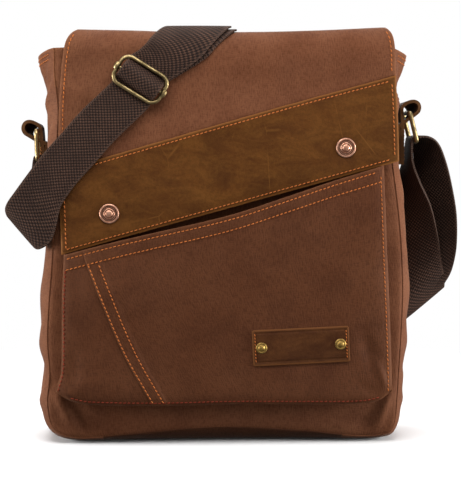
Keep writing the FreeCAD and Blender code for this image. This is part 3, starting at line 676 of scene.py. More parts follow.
base = [i for i, point in enumerate(outlinePoints) if point.y < 2.8]
seamLow = min(base, key=lambda i: abs(outlinePoints[i].x + shell["baseSeam"]))
seamHigh = min(base, key=lambda i: abs(outlinePoints[i].x - shell["baseSeam"]))
leftGusset = gussetPiece("leftGusset", 0, seamLow)
basePanel = gussetPiece("basePanel", seamLow, seamHigh)
rightGusset = gussetPiece("rightGusset", seamHigh, outlineTotal)
depth, wall = shell["halfDepth"], shell["canvas"]
frontPanel = panelPiece("frontPanel", -1, -0.8, depth, 1.6, frontFolds, frontTop, wall)
backPanel = panelPiece("backPanel", 1, -0.8, depth, 1.5, backFolds, backTop, wall, 0.5)
# the base panel takes the darkened canvas, painted shade for its underside; the pocket pieces below take a
# darker canvas, painted shade as well
for panel, finish, node in ((leftGusset, "canvas", "left_gusset"), (basePanel, "shadedBaseCanvas", "base_panel"),
                            (rightGusset, "canvas", "right_gusset"), (frontPanel, "canvas", "front_panel"),
                            (backPanel, "canvas", "back_panel")):
    dress(panel, finish, "bag", [node])

for panel in (frontPanel, backPanel, leftGusset, basePanel, rightGusset):
    border = panel.data.attributes["border"].data
    for vertex in panel.data.vertices:
        if vertex.co.z < 0.3:
            border[vertex.index].value = 9.0

lining = {"inset": 1.9, "depth": 39.7, "thick": 0.6, "skip": 3, "bulge": 0.6}
level = [(-140, 0), (140, 0)]
steps = outlineTotal - 2 * lining["skip"]


def liningPoint(u, v):
    return shellPoint(lining["skip"] + steps * u, softened(v), lining["inset"], lining["depth"])


strip = cloth("liningStrip", steps, shell["acrossCount"], (steps * shell["pitch"], 84), liningPoint,
              lining["thick"], edge=0)
walls = [panelPiece("liningWall", side, lining["inset"], lining["depth"], lining["bulge"], [], level,
                    lining["thick"], 0.4, lining["skip"]) for side in (-1, 1)]
dress(joined("liningBag", [strip] + walls), "lining", "bag", ["lining"])

slip = {"half": 103.0, "low": 94.0, "high": 223.5, "back": 39.5, "room": 3.8, "thick": 0.7}


def slipPoint(u, v):
    x = (u * 2 - 1) * slip["half"]
    z = slip["low"] + (slip["high"] - slip["low"]) * v
    near = min(slip["half"] - abs(x), z - slip["low"])
    out = (1 - math.exp(-near / 5)) * (slip["room"] * (0.35 + 0.65 * v) + 0.8 * ripple(x, 31, z, 36))
    hem = 0.5 * ease(slip["high"] - 13, slip["high"] - 12, z)
    return x, slip["back"] - out - hem, z


slipPocket = cloth("slipPocket", 90, 60, (slip["half"] * 2, 130), slipPoint, slip["thick"])
dress(slipPocket, "lining", "bag", ["inner_pocket"])
print("bag shell ready")


flap = {
    "face": -48.7, "radius": 18.0, "back": 45.0, "backRadius": 5.0, "root": 318.5,
    "left": [(161, -135.2), (215, -136.8), (269, -137), (292, -136.2), (315, -134.4), (330, -132.4),
             (338, -130.6), (343, -128), (346.5, -124.5), (348.5, -121)],
    "right": [(239, 147), (279, 145.8), (308, 144.2), (328, 143.6), (340, 142.4), (346, 140.6),
              (350.6, 137)],
    "canvas": 1.4, "lining": 0.7, "cut": (286, 300), "span": (-135, 282),
    "ridge": [(-135, 348.4), (-80, 347.4), (-48, 346.5), (26, 346.5), (80, 347.8), (143, 350.4)],
    "rows": (10, 6, 34, 16, 92), "columns": 130,
    "edgeLeft": 160.8, "slope": 0.2760,
    "folds": [(-20, 316, 136, 326, 11, 1.5), (-132, 258, -70, 274, 8, 1.3), (-128, 300, -96, 292, 7, 1.0),
              (40, 296, 140, 304, 10, -1.4), (-40, 262, 40, 286, 12, 0.9)],
}


def flapEdge(x):
    return flap["edgeLeft"] + (x + 135) * flap["slope"]


def flapFace(x, z):
    near = min(x + 136, 146 - x)
    out = 0.9 * ripple(x, 0, z, 55) + foldHeight(x, z, flap["folds"])
    out -= 1.6 * math.exp(-max(near, 0) / 5)
    out += 1.4 * ease(70, 0, z - flapEdge(x))
    return flap["face"] - out


def flapPoint(u, v, inward=0.0, margin=0.0):
    counts = flap["rows"]
    row = v * sum(counts)
    radius = flap["radius"]
    guess = flap["span"][0] + flap["span"][1] * u
    top = fitted(flap["ridge"], guess)
    if row <= counts[0]:
        y, depthwise = flap["back"], (1, 0)
        z = flap["root"] + (top - flap["backRadius"] - flap["root"]) * row / counts[0]
    elif row <= sum(counts[:2]):
        angle = (row - counts[0]) / counts[1] * math.pi / 2
        y = flap["back"] - flap["backRadius"] * (1 - math.cos(angle))
        z = top - flap["backRadius"] * (1 - math.sin(angle))
        depthwise = (math.cos(angle), math.sin(angle))
    elif row <= sum(counts[:3]):
        share = (row - sum(counts[:2])) / counts[2]
        rear, front = flap["back"] - flap["backRadius"], flap["face"] + radius
        y = rear + (front - rear) * share
        z, depthwise = top, (0, 1)
    elif row <= sum(counts[:4]):
        angle = (row - sum(counts[:3])) / counts[3] * math.pi / 2
        y = flap["face"] + radius * (1 - math.sin(angle))
        z = top - radius * (1 - math.cos(angle))
        depthwise = (-math.sin(angle), math.cos(angle))
    else:
        y, z, depthwise = flap["face"], None, (-1, 0)
    if z is None:
        share = (row - sum(counts[:4])) / counts[4]
        high = top - radius
        z = high + (flapEdge(guess) + margin - high) * share
    leftX, rightX = fitted(flap["left"], z) + margin, fitted(flap["right"], z) - margin
    if row <= sum(counts[:2]):
        leftX, rightX = leftX - 1.0, rightX + 0.5
    x = leftX + (rightX - leftX) * u
    settled = ease(top - 2, top - radius * 1.3, z) if y < 0 else 0.0
    if y < 0 and row > sum(counts[:3]):
        y += (flapFace(x, z) - flap["face"]) * settled
    elif row > sum(counts[:2]):
        z += 0.5 * ripple(x, y, 0, 50) * ease(0, 10, 40 - y) * ease(0, 12, y + 33)
    return x, y - depthwise[0] * inward, z - depthwise[1] * inward


flapSize = (276, 268)
flapCanvas = cloth("flapCanvas", flap["columns"], sum(flap["rows"]), flapSize,
                   lambda u, v: flapPoint(1 - u, v), flap["canvas"])
flapLining = cloth("flapLining", flap["columns"] // 2, sum(flap["rows"]) // 2, flapSize,
                   lambda u, v: flapPoint(1 - u, 0.062 + 0.938 * v, flap["canvas"] + 0.15, 1.5),
                   flap["lining"], edge=0)

band = {"topEdge": [(-137, 230), (-92, 243.2), (-10, 267), (64, 288), (141, 308.5), (147, 310)], "thick": 1.8,
        "columns": 150, "rows": 40, "span": (-135.2, 281.6)}


def bandPoint(u, v):
    guess = band["span"][0] + band["span"][1] * u
    low = flapEdge(guess) - 0.2 + 0.25 * ripple(guess, 9, 0, 9)
    high = fitted(band["topEdge"], guess) + 0.25 * ripple(guess, 5, 7, 9)
    z = low + (high - low) * v
    leftX, rightX = fitted(flap["left"], z) - 0.1, fitted(flap["right"], z) + 0.1
    x = leftX + (rightX - leftX) * u
    near = min(u * 280, (1 - u) * 280, v * 69, (1 - v) * 69)
    relief = 0.45 * math.exp(-near / 1.2) - 0.25 * ripple(x, 3, z, 14)
    return x, flapFace(x, z) - band["thick"] - 0.1 + relief, z


flapBand = cloth("flapBand", band["columns"], band["rows"], (282, 70), bandPoint, band["thick"], edge=0.35)
for piece, finish, slotName, stands in ((flapCanvas, "canvas", "canvas", ["flap_canvas", "flap_root"]),
                                        (flapLining, "lining", "lining", ["flap_lining"])):
    dress(piece, finish, None, stands)
    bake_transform(piece)
dress(flapBand, "leather", "flap", ["flap_band"])
print("flap ready")


pocket = {
    "left": [(36, -137.5), (42, -140.5), (50, -139), (62, -135.6), (80, -134.6), (120, -134.4), (157, -133)],
    "right": [(36, 139.5), (45, 140.5), (90, 139.5), (160, 136.8), (200, 135.4), (236, 134)],
    "mouth": [(-134, 160.4), (-116, 165.3), (-100, 169.4), (-72, 176.2), (5, 194.0), (58, 211.0),
              (91, 222.0), (131, 234.0), (136, 235.5)],
    "bottom": [(-141, 49), (-136, 44.5), (-126, 39.5), (-112, 36.6), (-53, 35.2), (5, 36.2), (95, 35.6),
               (118, 36.2), (130, 38.8), (136, 43.0), (141, 48)],
    "faceLow": -64.0, "lean": 0.057, "canvas": 1.3, "columns": 170, "rows": 104, "bulge": 1.6,
    "seam": [(160, -107.5 - 3.0), (150.5, -107.5), (81, -79.0), (36, -54.1), (30, -51)],
    "seamHalf": 4.4, "back": -42.6, "hemRows": (4.0, 13.0), "groove": 0.28,
    "folds": [(-134, 70, -140, 50, 2.6, 2.6), (-139, 51, -124, 42, 2.4, 1.8),
              (-127, 84, -124, 56, 6, -2.6), (-112, 60, -132, 42, 6, 1.2),
              (-134, 100, -131, 70, 2.5, 0.9), (116, 96, 128, 62, 6, -2.2), (126, 74, 137, 47, 3.2, 2.6),
              (112, 52, 134, 42, 5, -1.2), (-40, 120, 40, 150, 22, 0.8), (60, 120, 120, 180, 20, -0.7),
              (-128, 150, -118, 120, 6, -0.9)],
}


def pocketMouth(x):
    return fitted(pocket["mouth"], x)


def pocketSeamX(z):
    return fitted(sorted(pocket["seam"]), z)


def pocketFace(x, z):
    below = pocketMouth(x) - z
    flat = pocket["faceLow"] + (z - 36) * pocket["lean"]
    sideNear = min(x - fitted(pocket["left"], z), fitted(pocket["right"], z) - x)
    lowNear = z - fitted(pocket["bottom"], x)
    full = (1 - math.exp(-max(sideNear, 0) / 5)) * (1 - math.exp(-max(lowNear, 0) / 4.5))
    rumple = foldHeight(x, z, pocket["folds"]) + 0.9 * ripple(x, 11, z, 48) + 0.3 * ripple(x, 4, z, 17)
    out = pocket["bulge"] * full + full * rumple
    out -= 2.0 * (1 - full)
    out += 1.6 * math.exp(-((x - 20) / 80) ** 2) * ease(60, 0, below)
    out -= 2.8 * ease(44, 0, below) * ease(-60, -112, x)
    for row in pocket["hemRows"]:
        out -= pocket["groove"] * math.exp(-((below - row) / 1.0) ** 2)
    out += 0.6 * ease(14.5, 13.2, below)
    off = x - pocketSeamX(z)
    for side in (-1, 1):
        out -= pocket["groove"] * math.exp(-((off - side * pocket["seamHalf"]) / 1.0) ** 2)
    return flat - out


def pocketSheet(name, leftOf, rightOf, columns, raised, extent):
    def place(u, v):
        x = leftOf(100) + (rightOf(100) - leftOf(100)) * u
        for _ in range(3):
            low, high = fitted(pocket["bottom"], x), pocketMouth(x)
            z = low + (high - low) * v
            x = leftOf(z) + (rightOf(z) - leftOf(z)) * u
        return x, pocketFace(x, z) - raised(x, z), z
    return cloth(name, columns, pocket["rows"], extent, place, pocket["canvas"])


def feltedRise(x, z):
    return 1.1 * ease(9.0, 6.0, x - pocketSeamX(z))


def pocketLeft(z):
    return fitted(pocket["left"], z)


def pocketRight(z):
    return fitted(pocket["right"], z)


pocketMain = pocketSheet("pocketMainPanel", lambda z: pocketSeamX(z) - pocket["seamHalf"] - 1.4, pocketRight,
                         140, feltedRise, (225, 170))
pocketSide = pocketSheet("pocketSidePanel", pocketLeft, lambda z: pocketSeamX(z) + pocket["seamHalf"],
                         44, lambda x, z: 0.0, (70, 110))
# pocket panels and gusset take the darker canvas copy, painted shade for the less lit lower front
dress(pocketMain, "shadedPocketCanvas", "bag", ["pocket_main_panel"])
dress(pocketSide, "shadedPocketCanvas", "bag", ["pocket_side_panel"])


lowLeft, lowRight = (fitted(pocket["bottom"], x) + 0.4 for x in (-139, 139))


def pocketGussetPoint(u, v):
    turn = u * 3
    if turn < 1:
        z = pocketMouth(-133) + (lowLeft - pocketMouth(-133)) * turn
        x, into = fitted(pocket["left"], z), Vector((1, 0))
    elif turn < 2:
        share = turn - 1
        x = -139 + 278 * share
        z, into = fitted(pocket["bottom"], x) + 0.4, Vector((0, 1))
    else:
        z = lowRight + (pocketMouth(134.5) - lowRight) * (turn - 2)
        x, into = fitted(pocket["right"], z), Vector((-1, 0))
    corner = min(abs(turn - 1), abs(turn - 2))
    if corner < 0.06:
        into = into * (0.6 + 0.4 * corner / 0.06)
    front = pocketFace(x, z) + 0.9
    y = front + (pocket["back"] - front) * v
    pinch = (2.6 + 1.2 * ripple(x, y, z, 26)) * math.sin(math.pi * v) * (1.0 if 1 <= turn <= 2 else 1.4)
    pinch -= 2.4 * math.sin(math.pi * v) * math.exp(-((turn - 1.06) / 0.05) ** 2)
    return x + into.x * (0.3 + pinch), y, z + into.y * (0.3 + pinch)


pocketGusset = cloth("pocketGusset", 240, 12, (560, 20), pocketGussetPoint, 1.1)
dress(pocketGusset, "shadedPocketCanvas", "bag", ["pocket_gusset"])
print("front pocket ready")


labelShape = {"width": 81.0, "height": 30.0, "thick": 1.8, "x": 64.0, "z": 85.0, "tilt": 2.5, "rivets": 33.0,
              "groove": 3.0, "corner": 2, "sewnIn": 2.3}
pocketSkin = surfaceOf(pocketMain, pocketSide)


def labelSpot(a, b):
    turn = math.radians(labelShape["tilt"])
    x = labelShape["x"] + a * math.cos(turn) - b * math.sin(turn)
    return x, labelShape["z"] + a * math.sin(turn) + b * math.cos(turn)


def labelPoint(u, v):
    a, b = (u - 0.5) * labelShape["width"], (v - 0.5) * labelShape["height"]
    corner = labelShape["corner"]
    overA = max(abs(a) - labelShape["width"] / 2 + corner, 0)
    overB = max(abs(b) - labelShape["height"] / 2 + corner, 0)
    if overA and overB:
        shrink = corner / max(math.hypot(overA, overB), corner)
        a -= math.copysign(overA * (1 - shrink), a)
        b -= math.copysign(overB * (1 - shrink), b)
    x, z = labelSpot(a, b)
    near = min(labelShape["width"] / 2 - abs(a), labelShape["height"] / 2 - abs(b))
    spot = landing(pocketSkin, (x, -200, z), (0, 1, 0))
    y = spot[0].y / mm if spot else pocketFace(x, z)
    groove = 0.55 * math.exp(-((near - labelShape["groove"]) / 0.55) ** 2)
    relief = groove + 0.3 * math.exp(-max(near, 0) / 0.5) - 0.15 * ripple(x, 2, z, 9)
    return x, y - labelShape["thick"] - 0.1 + relief, z


endIn = labelShape["width"] / 2 - labelShape["sewnIn"]
labelEnds = [[labelSpot(side * endIn, b) for b in range(-12, 13, 3)] for side in (-1, 1)]
label = cloth("labelPatch", 110, 44, (labelShape["width"], labelShape["height"]), labelPoint,
              labelShape["thick"], edge=0.3)
dress(label, "darkLeather", "bag", ["label_patch"])


def turned(name, profile, segments=40):
    deselectAll()
    radius, height = profile[0]
    bpy.ops.mesh.primitive_circle_add(vertices=segments, radius=radius * mm, fill_type="NGON",
                                      location=(0, 0, height * mm))
    obj = bpy.context.object
    obj.name = obj.data.name = name
    bpy.ops.object.mode_set(mode="EDIT")
    bpy.ops.mesh.select_all(action="SELECT")
    for nextRadius, nextHeight in profile[1:]:
        bpy.ops.mesh.extrude_region_move()
        bpy.ops.transform.resize(value=(nextRadius / radius, nextRadius / radius, 1))
        bpy.ops.transform.translate(value=(0, 0, (nextHeight - height) * mm))
        radius, height = nextRadius, nextHeight
    bpy.ops.mesh.select_all(action="SELECT")
    bpy.ops.mesh.normals_make_consistent(inside=False)
    bpy.ops.object.mode_set(mode="OBJECT")
    pick(obj)
    bpy.ops.object.transform_apply(location=True, rotation=True, scale=True)
    smoothEdges(obj, 35)
    return obj


def upright(normal):
    return Vector((0, 0, 1)).rotation_difference(normal).to_matrix().to_4x4()


def seated(source, name, spots):
    copies = [ownCopy(source, Matrix.Translation(spot) @ upright(normal)) for spot, normal in spots]
    bpy.data.objects.remove(source)
    return joined(name, copies)


def facingOut(trees, x, z):
    spot = landing(trees, (x, -200, z), (0, 1, 0))
    normal = spot[1] if spot[1].y < 0 else -spot[1]
    normal = (normal + Vector((0, -3, 0))).normalized()
    return spot[0], normal


rivetProfile = [(4.6, -1.2), (4.7, 0.1), (4.55, 0.75), (4.2, 1.05), (3.6, 1.15), (3.2, 0.95), (2.9, 1.0),
                (2.3, 1.7), (1.5, 2.1), (0.7, 2.25), (0.15, 2.3)]
labelSkin = surfaceOf(label)
rivetSpots = [facingOut(labelSkin, *labelSpot(side * labelShape["rivets"], 0)) for side in (-1, 1)]
rivets = seated(turned("rivet", rivetProfile), "labelRivets", rivetSpots)
dress(rivets, "rivetBrass", "bag", ["label_rivets"])

capProfile = [(8.2, -1.5), (8.4, 0.2), (8.3, 1.0), (7.9, 1.45), (7.3, 1.6), (6.7, 1.45), (6.35, 1.0),
              (6.1, 0.95), (4.75, 1.0), (4.6, 1.5), (4.35, 1.9), (4.0, 2.1), (3.7, 2.1), (3.45, 1.75),
              (3.3, 1.7), (3.1, 2.3), (2.7, 2.8), (2.0, 3.05), (1.0, 3.15), (0.2, 3.2)]
snapPlaces = [(-95.3, 195.0), (102.1, 249.6)]
bandSkin = surfaceOf(flapBand)
capSpots = [facingOut(bandSkin, x, z) for x, z in snapPlaces]
cap = turned("cap", capProfile, 48)
hollow = cap.data.attributes.new("hollow", "FLOAT", "POINT")
for vertex in cap.data.vertices:
    radius, height = math.hypot(vertex.co.x, vertex.co.y) / mm, vertex.co.z / mm
    hollow.data[vertex.index].value = 1.0 if height < 1.2 or 3.2 < radius < 3.5 else 0.0
caps = seated(cap, "snapCaps", capSpots)
capBeads = {"count": 30, "radius": 5.42}
bead = turned("bead", [(0.42, 0.9), (0.42, 1.15), (0.3, 1.4), (0.08, 1.46)], 6)
ring = []
for k in range(capBeads["count"]):
    angle = 2 * math.pi * k / capBeads["count"]
    outward = Vector((math.cos(angle), math.sin(angle), 0))
    ring.append(ownCopy(bead, Matrix.Translation(outward * capBeads["radius"] * mm)))
bpy.data.objects.remove(bead)
beads = seated(joined("beads", ring), "capBeads", capSpots)
dress(joined("snapCaps", [caps, beads]), "copper", "flap", ["snap_caps"])
print("label, rivets and snaps ready")


# a flat ribbon through its cross-sections; weave is the width that its pattern is laid out for
def ribbonPiece(name, frames, steps, thickness, lengthBefore=0.0, cup=0.0, edge=0.35, weave=None):
    run = flowingFrames(frames, steps) if steps else frames
    lengths = runLengths([middle for middle, _ in run])
    rows = len(run) - 1
    width = run[rows // 2][1].length * 2

    def place(u, v):
        k = round(v * rows)
        middle, half = run[k]
        tangent = (run[min(k + 1, rows)][0] - run[max(k - 1, 0)][0]).normalized()
        normal = tangent.cross(half).normalized()
        a = u * 2 - 1
        return middle + half * a + normal * cup * (1 - a * a)

    obj = cloth(name, 12, rows, (width, lengths[-1]), place, thickness, outward=0.5, edge=0)
    for item, loop in zip(obj.data.uv_layers.active.data, obj.data.loops):
        k = min(int(round(item.uv.y / (lengths[-1] * mm) * rows)), rows)
        item.uv = (item.uv.x * (weave or width) / width, (lengthBefore + lengths[k]) * mm)
    roundEdges(obj, edge)
    smoothEdges(obj)
    return obj, lengths[-1]


def flowingFrames(frames, steps):
    middles = flowing([f[0] for f in frames], steps)
    halves = flowing([f[1] for f in frames], steps)
    return list(zip(middles, halves))


tabs = {
    "left": {"side": -1, "ring": (-157.0, 263.5), "face": 148.0, "reach": 2.7, "rise": -0.3},
    "right": {"side": 1, "ring": (160.0, 278.4), "face": 150.6, "reach": 0.4, "rise": 2.4},
    "width": 25.0, "leather": 2.8, "length": 36.0, "radius": 7.6, "drop": 8.0, "neck": 2.5, "sewnIn": 2.6,
}


def tabFrames(value):
    side = value["side"]
    ringX, ringZ = value["ring"]
    high = ringZ - tabs["drop"]
    low = high - tabs["length"]
    half = Vector((0, tabs["width"] / 2 * side, 0))
    face = value["face"]
    inner, outer = side * (face + tabs["leather"] / 2), side * (face + tabs["leather"] * 1.5 + 0.1)
    centre = Vector((ringX + side * value["reach"], 0, ringZ + value["rise"]))
    tip = Vector((outer, 0, high - tabs["neck"]))
    gap = tip - centre
    lean = math.atan2(gap.z, gap.x * side)
    wide = math.acos(tabs["radius"] / gap.length)
    radius = tabs["radius"] - tabs["leather"] / 2
    points = [(outer, low), (outer, low + 12), (outer, high - 8), (outer + side * 0.2, high - 4)]
    first, last = lean - wide, lean + wide - 2 * math.pi
    for k in range(9):
        angle = first + (last - first) * k / 8
        points.append((centre.x + side * radius * math.cos(angle), centre.z + radius * math.sin(angle)))
    points += [(inner + side * 0.5, high - 3.0), (inner, high - 8), (inner, low + 12), (inner, low)]
    frames = []
    for x, z in points:
        twist = ease(face + 3, face + 16, x * side)
        frames.append((Vector((x, 0, z)), half - Vector((side * 3.0, 0, 2.5)) * twist * side))
    return frames


for name in ("left", "right"):
    tab, _ = ribbonPiece(name + "Tab", tabFrames(tabs[name]), 6, tabs["leather"])
    dress(tab, "tabLeather", "bag", [name + "_tab"])
    side, ringZ = tabs[name]["side"], tabs[name]["ring"][1]
    high = ringZ - tabs["drop"] - tabs["neck"] - 4
    low = ringZ - tabs["drop"] - tabs["length"] + 3.2
    wide = tabs["width"] / 2 - tabs["sewnIn"]
    box = [(side * 150, y, z) for y, z in ((-wide, high), (-wide, low), (wide, low), (wide, high),
                                           (-wide, high))]
    sewn = [[Vector(a).lerp(Vector(b), k / 6) for k in range(7)] for a, b in zip(box[:-1], box[1:])]
    stitchRow(name + "TabStitches", surfaceOf(tab), sewn, (-side, 0, 0), "thread", "bag", pitch=3.0)
print("tabs ready")


# two layers lie on the flap, the sewn end under the run that feeds the slider
# a row of a bend is an offset from its anchor, then half the width as a vector
strap = {
    "width": 37.0, "thick": 1.7, "layer": 1.8, "above": 0.5, "gap": 0.6,
    "slider": (-69.0, 306.0), "turn": 54.0, "wire": 3.4, "bar": 3.0, "wireGap": 0.4,
    "ringWire": 4.0, "leftBar": (-156.1, 239.0), "rightBar": (165.9, 254.6),
    "flapFace": -49.0, "flapTop": 346.5, "corner": 18.0, "hinge": (44.0, 343.6),
    "back": 45.9, "lift": 2.2, "backTop": 325.0, "backShares": (0.22, 0.552, 0.83),
    "overTop": [(90, -19, 26.5, 0), (74, -22, 27.5, 0), (56, -26, 28, 0), (38, -31, 27.5, -0.5),
                (20, -36.5, 25.5, -2.5), (3, -42, 22.5, -6)],
    "foldUp": [(-3.4, -1.6, -3.6, 15.5, 0, 13.2), (0, -8.6, -11.5, 17.2, 0, 14.4),
               (2.6, -16.4, -6, 16.8, -1, 12.6), (8, -21, 8.5, 15.6, -3, 9),
               (10.8, -24.6, 31, 15, -8, 5.5), (10, -30.9, 62, 13.8, -12, 3)],
    "ringUp": [(19.6, 9, -40, 13.6, -12.4, 2), (15.4, 5, -19, 11.5, -14.3, 1.5),
               (11.2, 2, -3.5, 8.4, -16.4, 1), (6.6, 0.5, 3, 4, -18, 0.5)],
    "ringDown": [(-4.3, 1, -17, 1.5, -18.4, 0), (-3.1, 4, -35, 7, -17.1, 0.5),
                 (2.8, 10, -60, 12.6, -13.4, 3)],
    "foldDown": [(-7, -30.9, 41, 15, -9, 6), (-3, -26, 15.5, 16, -4, 9.5), (-0.4, -21.4, -1, 16.8, 0, 13),
                 (0.6, -9, -15.2, 17.8, 0, 14.8), (-2.4, 0.6, -6.6, 15.5, 0, 13.4)],
    "loopDown": [(20.8, 0.2, 29, 14.2, 0, -12.8), (14.4, 0.8, 15, 16.6, 0, -14.8),
                 (8.2, 4.5, 3, 18, -0.5, -16.2), (2.4, 11, -3.5, 14.2, 0, -16.5),
                 (0, 20, -5, 10.6, 4, -12.8), (0.6, 29.5, 1, 11, 10.5, -10.5)],
    "loopUp": [(-8.9, -11, -36, 6, 16.5, -5), (-4.9, -2, -18, 1.5, 18.3, -1)],
}
slope = math.radians(strap["turn"])
strapAlong = Vector((-math.cos(slope), 0, -math.sin(slope)))
strapAcross = Vector((math.sin(slope), 0, -math.cos(slope)))
half = strap["width"] / 2
underY = strap["flapFace"] - strap["above"] - strap["layer"] / 2
upperY = underY - strap["layer"] - strap["gap"]
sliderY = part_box("slider_frame")[0].y / mm + strap["wire"] / 2
topUnder = strap["flapTop"] + strap["above"] + strap["layer"] / 2
topUpper = topUnder + strap["layer"] + strap["gap"]


def section(x, y, z, hx, hy, hz):
    return Vector((x, y, z)), Vector((hx, hy, hz))


def bend(anchor, rows):
    x, y, z = anchor
    return [section(x + row[0], y + row[1], z + row[2], *row[3:]) for row in rows]


def onFront(x, z, y, angle):
    turn = math.radians(angle)
    return section(x, y, z, half * math.sin(turn), 0, -half * math.cos(turn))


def alongSlider(distance, y, share=1.0):
    middle = Vector((strap["slider"][0], y, strap["slider"][1])) + strapAlong * distance
    return middle, strapAcross * half * share


def overCorner(radius, shift):
    cornerY, cornerZ = strap["flapFace"] + strap["corner"], strap["flapTop"] - strap["corner"]
    frames = []
    for degrees, x, wide, drop in strap["overTop"]:
        angle = math.radians(degrees)
        y, z = cornerY - radius * math.cos(angle), cornerZ + radius * math.sin(angle)
        frames.append(section(x + shift, y, z, wide, 0, drop))
    return frames


hingeY, hingeZ = strap["hinge"]
wrapBar = strap["bar"] / 2 + strap["wireGap"] + strap["layer"] / 2

underFrames = []
for degrees in (-90, -45, 0, 45, 90):
    angle = math.radians(degrees)
    underFrames.append(alongSlider(wrapBar * math.cos(angle), sliderY + wrapBar * math.sin(angle), 0.94))
underFrames += [alongSlider(-5.5, sliderY + wrapBar - 0.6, 0.94), alongSlider(-9.5, underY),
                section(-52.5, underY, 319.5, 16.3, 0, -9.6)]
underFrames += overCorner(strap["corner"] + topUnder - strap["flapTop"], 4.5)[::-1]
underFrames += [section(-12.5, -14, topUnder, 22.5, 0, 0), section(-11, 8, topUnder, 19.2, 0, 0),
                section(-10, 34, topUnder, half, 0, 0)]

rightX, rightZ = strap["rightBar"]
wrapRing = strap["ringWire"] / 2 + strap["wireGap"] + strap["layer"] / 2
slantX, slantZ = half * 0.745, half * 0.667
near = strap["back"]
far = near + strap["lift"]
top = strap["backTop"]
foldX, foldZ = rightX + 15, rightZ - 130
endX, endZ = foldX - 9, foldZ + 9.5


def downBack(y, shares):
    return [section(endX * share, y, top + (endZ - top) * share, slantX, 0, slantZ) for share in shares]


innerFrames = [section(-10, hingeY - 1.4, topUnder + 0.6, half, 0, 0),
               section(-10, near + 1.3, hingeZ + 1.8, half * 1.1, 0, 1),
               section(-8, near + 1.9, hingeZ - 6.6, half * 1.05, 0, 6),
               section(0, near + 0.7, top, slantX * 1.05, 0, slantZ)]
innerFrames += downBack(near, strap["backShares"]) + [section(endX, near - 0.5, endZ, slantX, 0, slantZ)]
innerFrames += bend((foldX, near, foldZ), strap["foldUp"]) + bend((rightX, 0, rightZ), strap["ringUp"])
innerFrames += [section(rightX, 0, rightZ + wrapRing, 0, -half, 0)]

outerFrames = [section(rightX - wrapRing * 0.7, 0, rightZ + wrapRing * 0.7, 0, -half, 0),
               section(rightX - wrapRing, 0, rightZ, 0, -half, 0)]
outerFrames += bend((rightX, 0, rightZ), strap["ringDown"]) + bend((foldX, near, foldZ), strap["foldDown"])
outerFrames += [section(endX + 1, far - 0.4, endZ - 1.2, slantX, 0, slantZ)]
outerFrames += downBack(far, reversed(strap["backShares"]))
outerFrames += [section(-2, far + 0.7, top, slantX * 1.05, 0, slantZ),
                section(-13, far + 2.1, hingeZ - 6.6, half * 1.05, 0, 6),
                section(-15, far + 1.5, hingeZ + 3.0, half * 1.1, 0, 1),
                section(-16, hingeY, topUpper + 1.4, half, 0, 0)]

hump = sliderY - strap["bar"] / 2 - strap["wireGap"] - strap["layer"] * 1.5 - strap["gap"]
midY = (upperY + hump) / 2
upperFrames = [section(-16, 34, topUpper + 0.6, half, 0, 0), section(-16, 8, topUpper + 1.0, 19.2, 0, 0),
               section(-17, -14, topUpper + 0.6, 22.5, 0, 0)]
upperFrames += overCorner(strap["corner"] + topUpper - strap["flapTop"] + 0.3, 0)
upperFrames += [section(-53.5, upperY, 320.5, 16.8, 0, -9.8)]
upperFrames += [alongSlider(-11.5, upperY), alongSlider(-6.8, midY), alongSlider(-2.6, hump),
                alongSlider(2.6, hump), alongSlider(6.8, midY), alongSlider(11.5, upperY),
                alongSlider(18, upperY), onFront(-104, 268, upperY, 47)]

leftX, leftZ = strap["leftBar"]
loopX, loopZ = leftX - 14, leftZ - 54
leftFrames = [onFront(loopX + 49.8, loopZ + 64.7, upperY, 47), onFront(loopX + 33, loopZ + 46, upperY, 47)]
leftFrames += bend((loopX, upperY, loopZ), strap["loopDown"]) + bend((leftX, 0, leftZ), strap["loopUp"])
for degrees in (180, 135, 90, 45, 0):
    angle = math.radians(degrees)
    x, z = leftX + wrapRing * math.cos(angle), leftZ + wrapRing * math.sin(angle)
    leftFrames.append(section(x, 0, z, 0, half, 0))
leftFrames += [section(leftX + wrapRing - 1.0, 0, leftZ - 12, 0, half, 0),
               section(leftX + wrapRing - 2.6, 0, leftZ - 24, 0, half, 0)]

wholeStrap = underFrames + innerFrames + outerFrames + upperFrames + leftFrames
strapSteps = 7
strapRun = flowingFrames(wholeStrap, strapSteps)
starts = {}
count = 0
for name, frames in (("under", underFrames), ("inner", innerFrames), ("outer", outerFrames),
                     ("upper", upperFrames), ("left", leftFrames)):
    starts[name] = count
    count += len(frames)


def fromSlider(near, far):
    return "slider", "flap", alongSlider(near, 0)[0], alongSlider(far, 0)[0]


# where each piece starts and ends along the strap, and what carries it
overHinge = ("bag", "flap", (0, 44.3, 0), (0, 31, 0))
fromRightRing = ("right_ring", "bag", (0, 0, rightZ - 4), (0, 0, rightZ - 92))
inner, outer, upper, leftward = (starts[name] for name in ("inner", "outer", "upper", "left"))
cuts = [
    ("strapSewnEnd", 0, 5, ("ride", "slider")),
    ("strapUnderFront", 5, inner - 2, fromSlider(-6, -24)),
    ("strapUnderTop", inner - 2, inner + 3, overHinge),
    ("strapInnerBack", inner + 3, inner + 10, ("ride", "bag")),
    ("strapRightFront", inner + 10, outer, fromRightRing),
    ("strapRightRear", outer, outer + 7, fromRightRing),
    ("strapOuterBack", outer + 7, upper - 3, ("ride", "bag")),
    ("strapUpperTop", upper - 3, upper + 1, overHinge),
    ("strapUpperFront", upper + 1, upper + 10, fromSlider(-12, -34)),
    ("strapHump", upper + 10, upper + 15, ("ride", "slider")),
    ("strapBelowSlider", upper + 15, leftward - 1, fromSlider(12, 36)),
    ("strapLeftFront", leftward - 1, leftward + 6, ("flap", "bag", (-104, 0, 268), (-160, 0, 200))),
    ("strapLeftLoop", leftward + 6, len(wholeStrap) - 1,
     ("left_ring", "bag", (-156, 0, leftZ - 8), (-160, 0, leftZ - 50))),
]
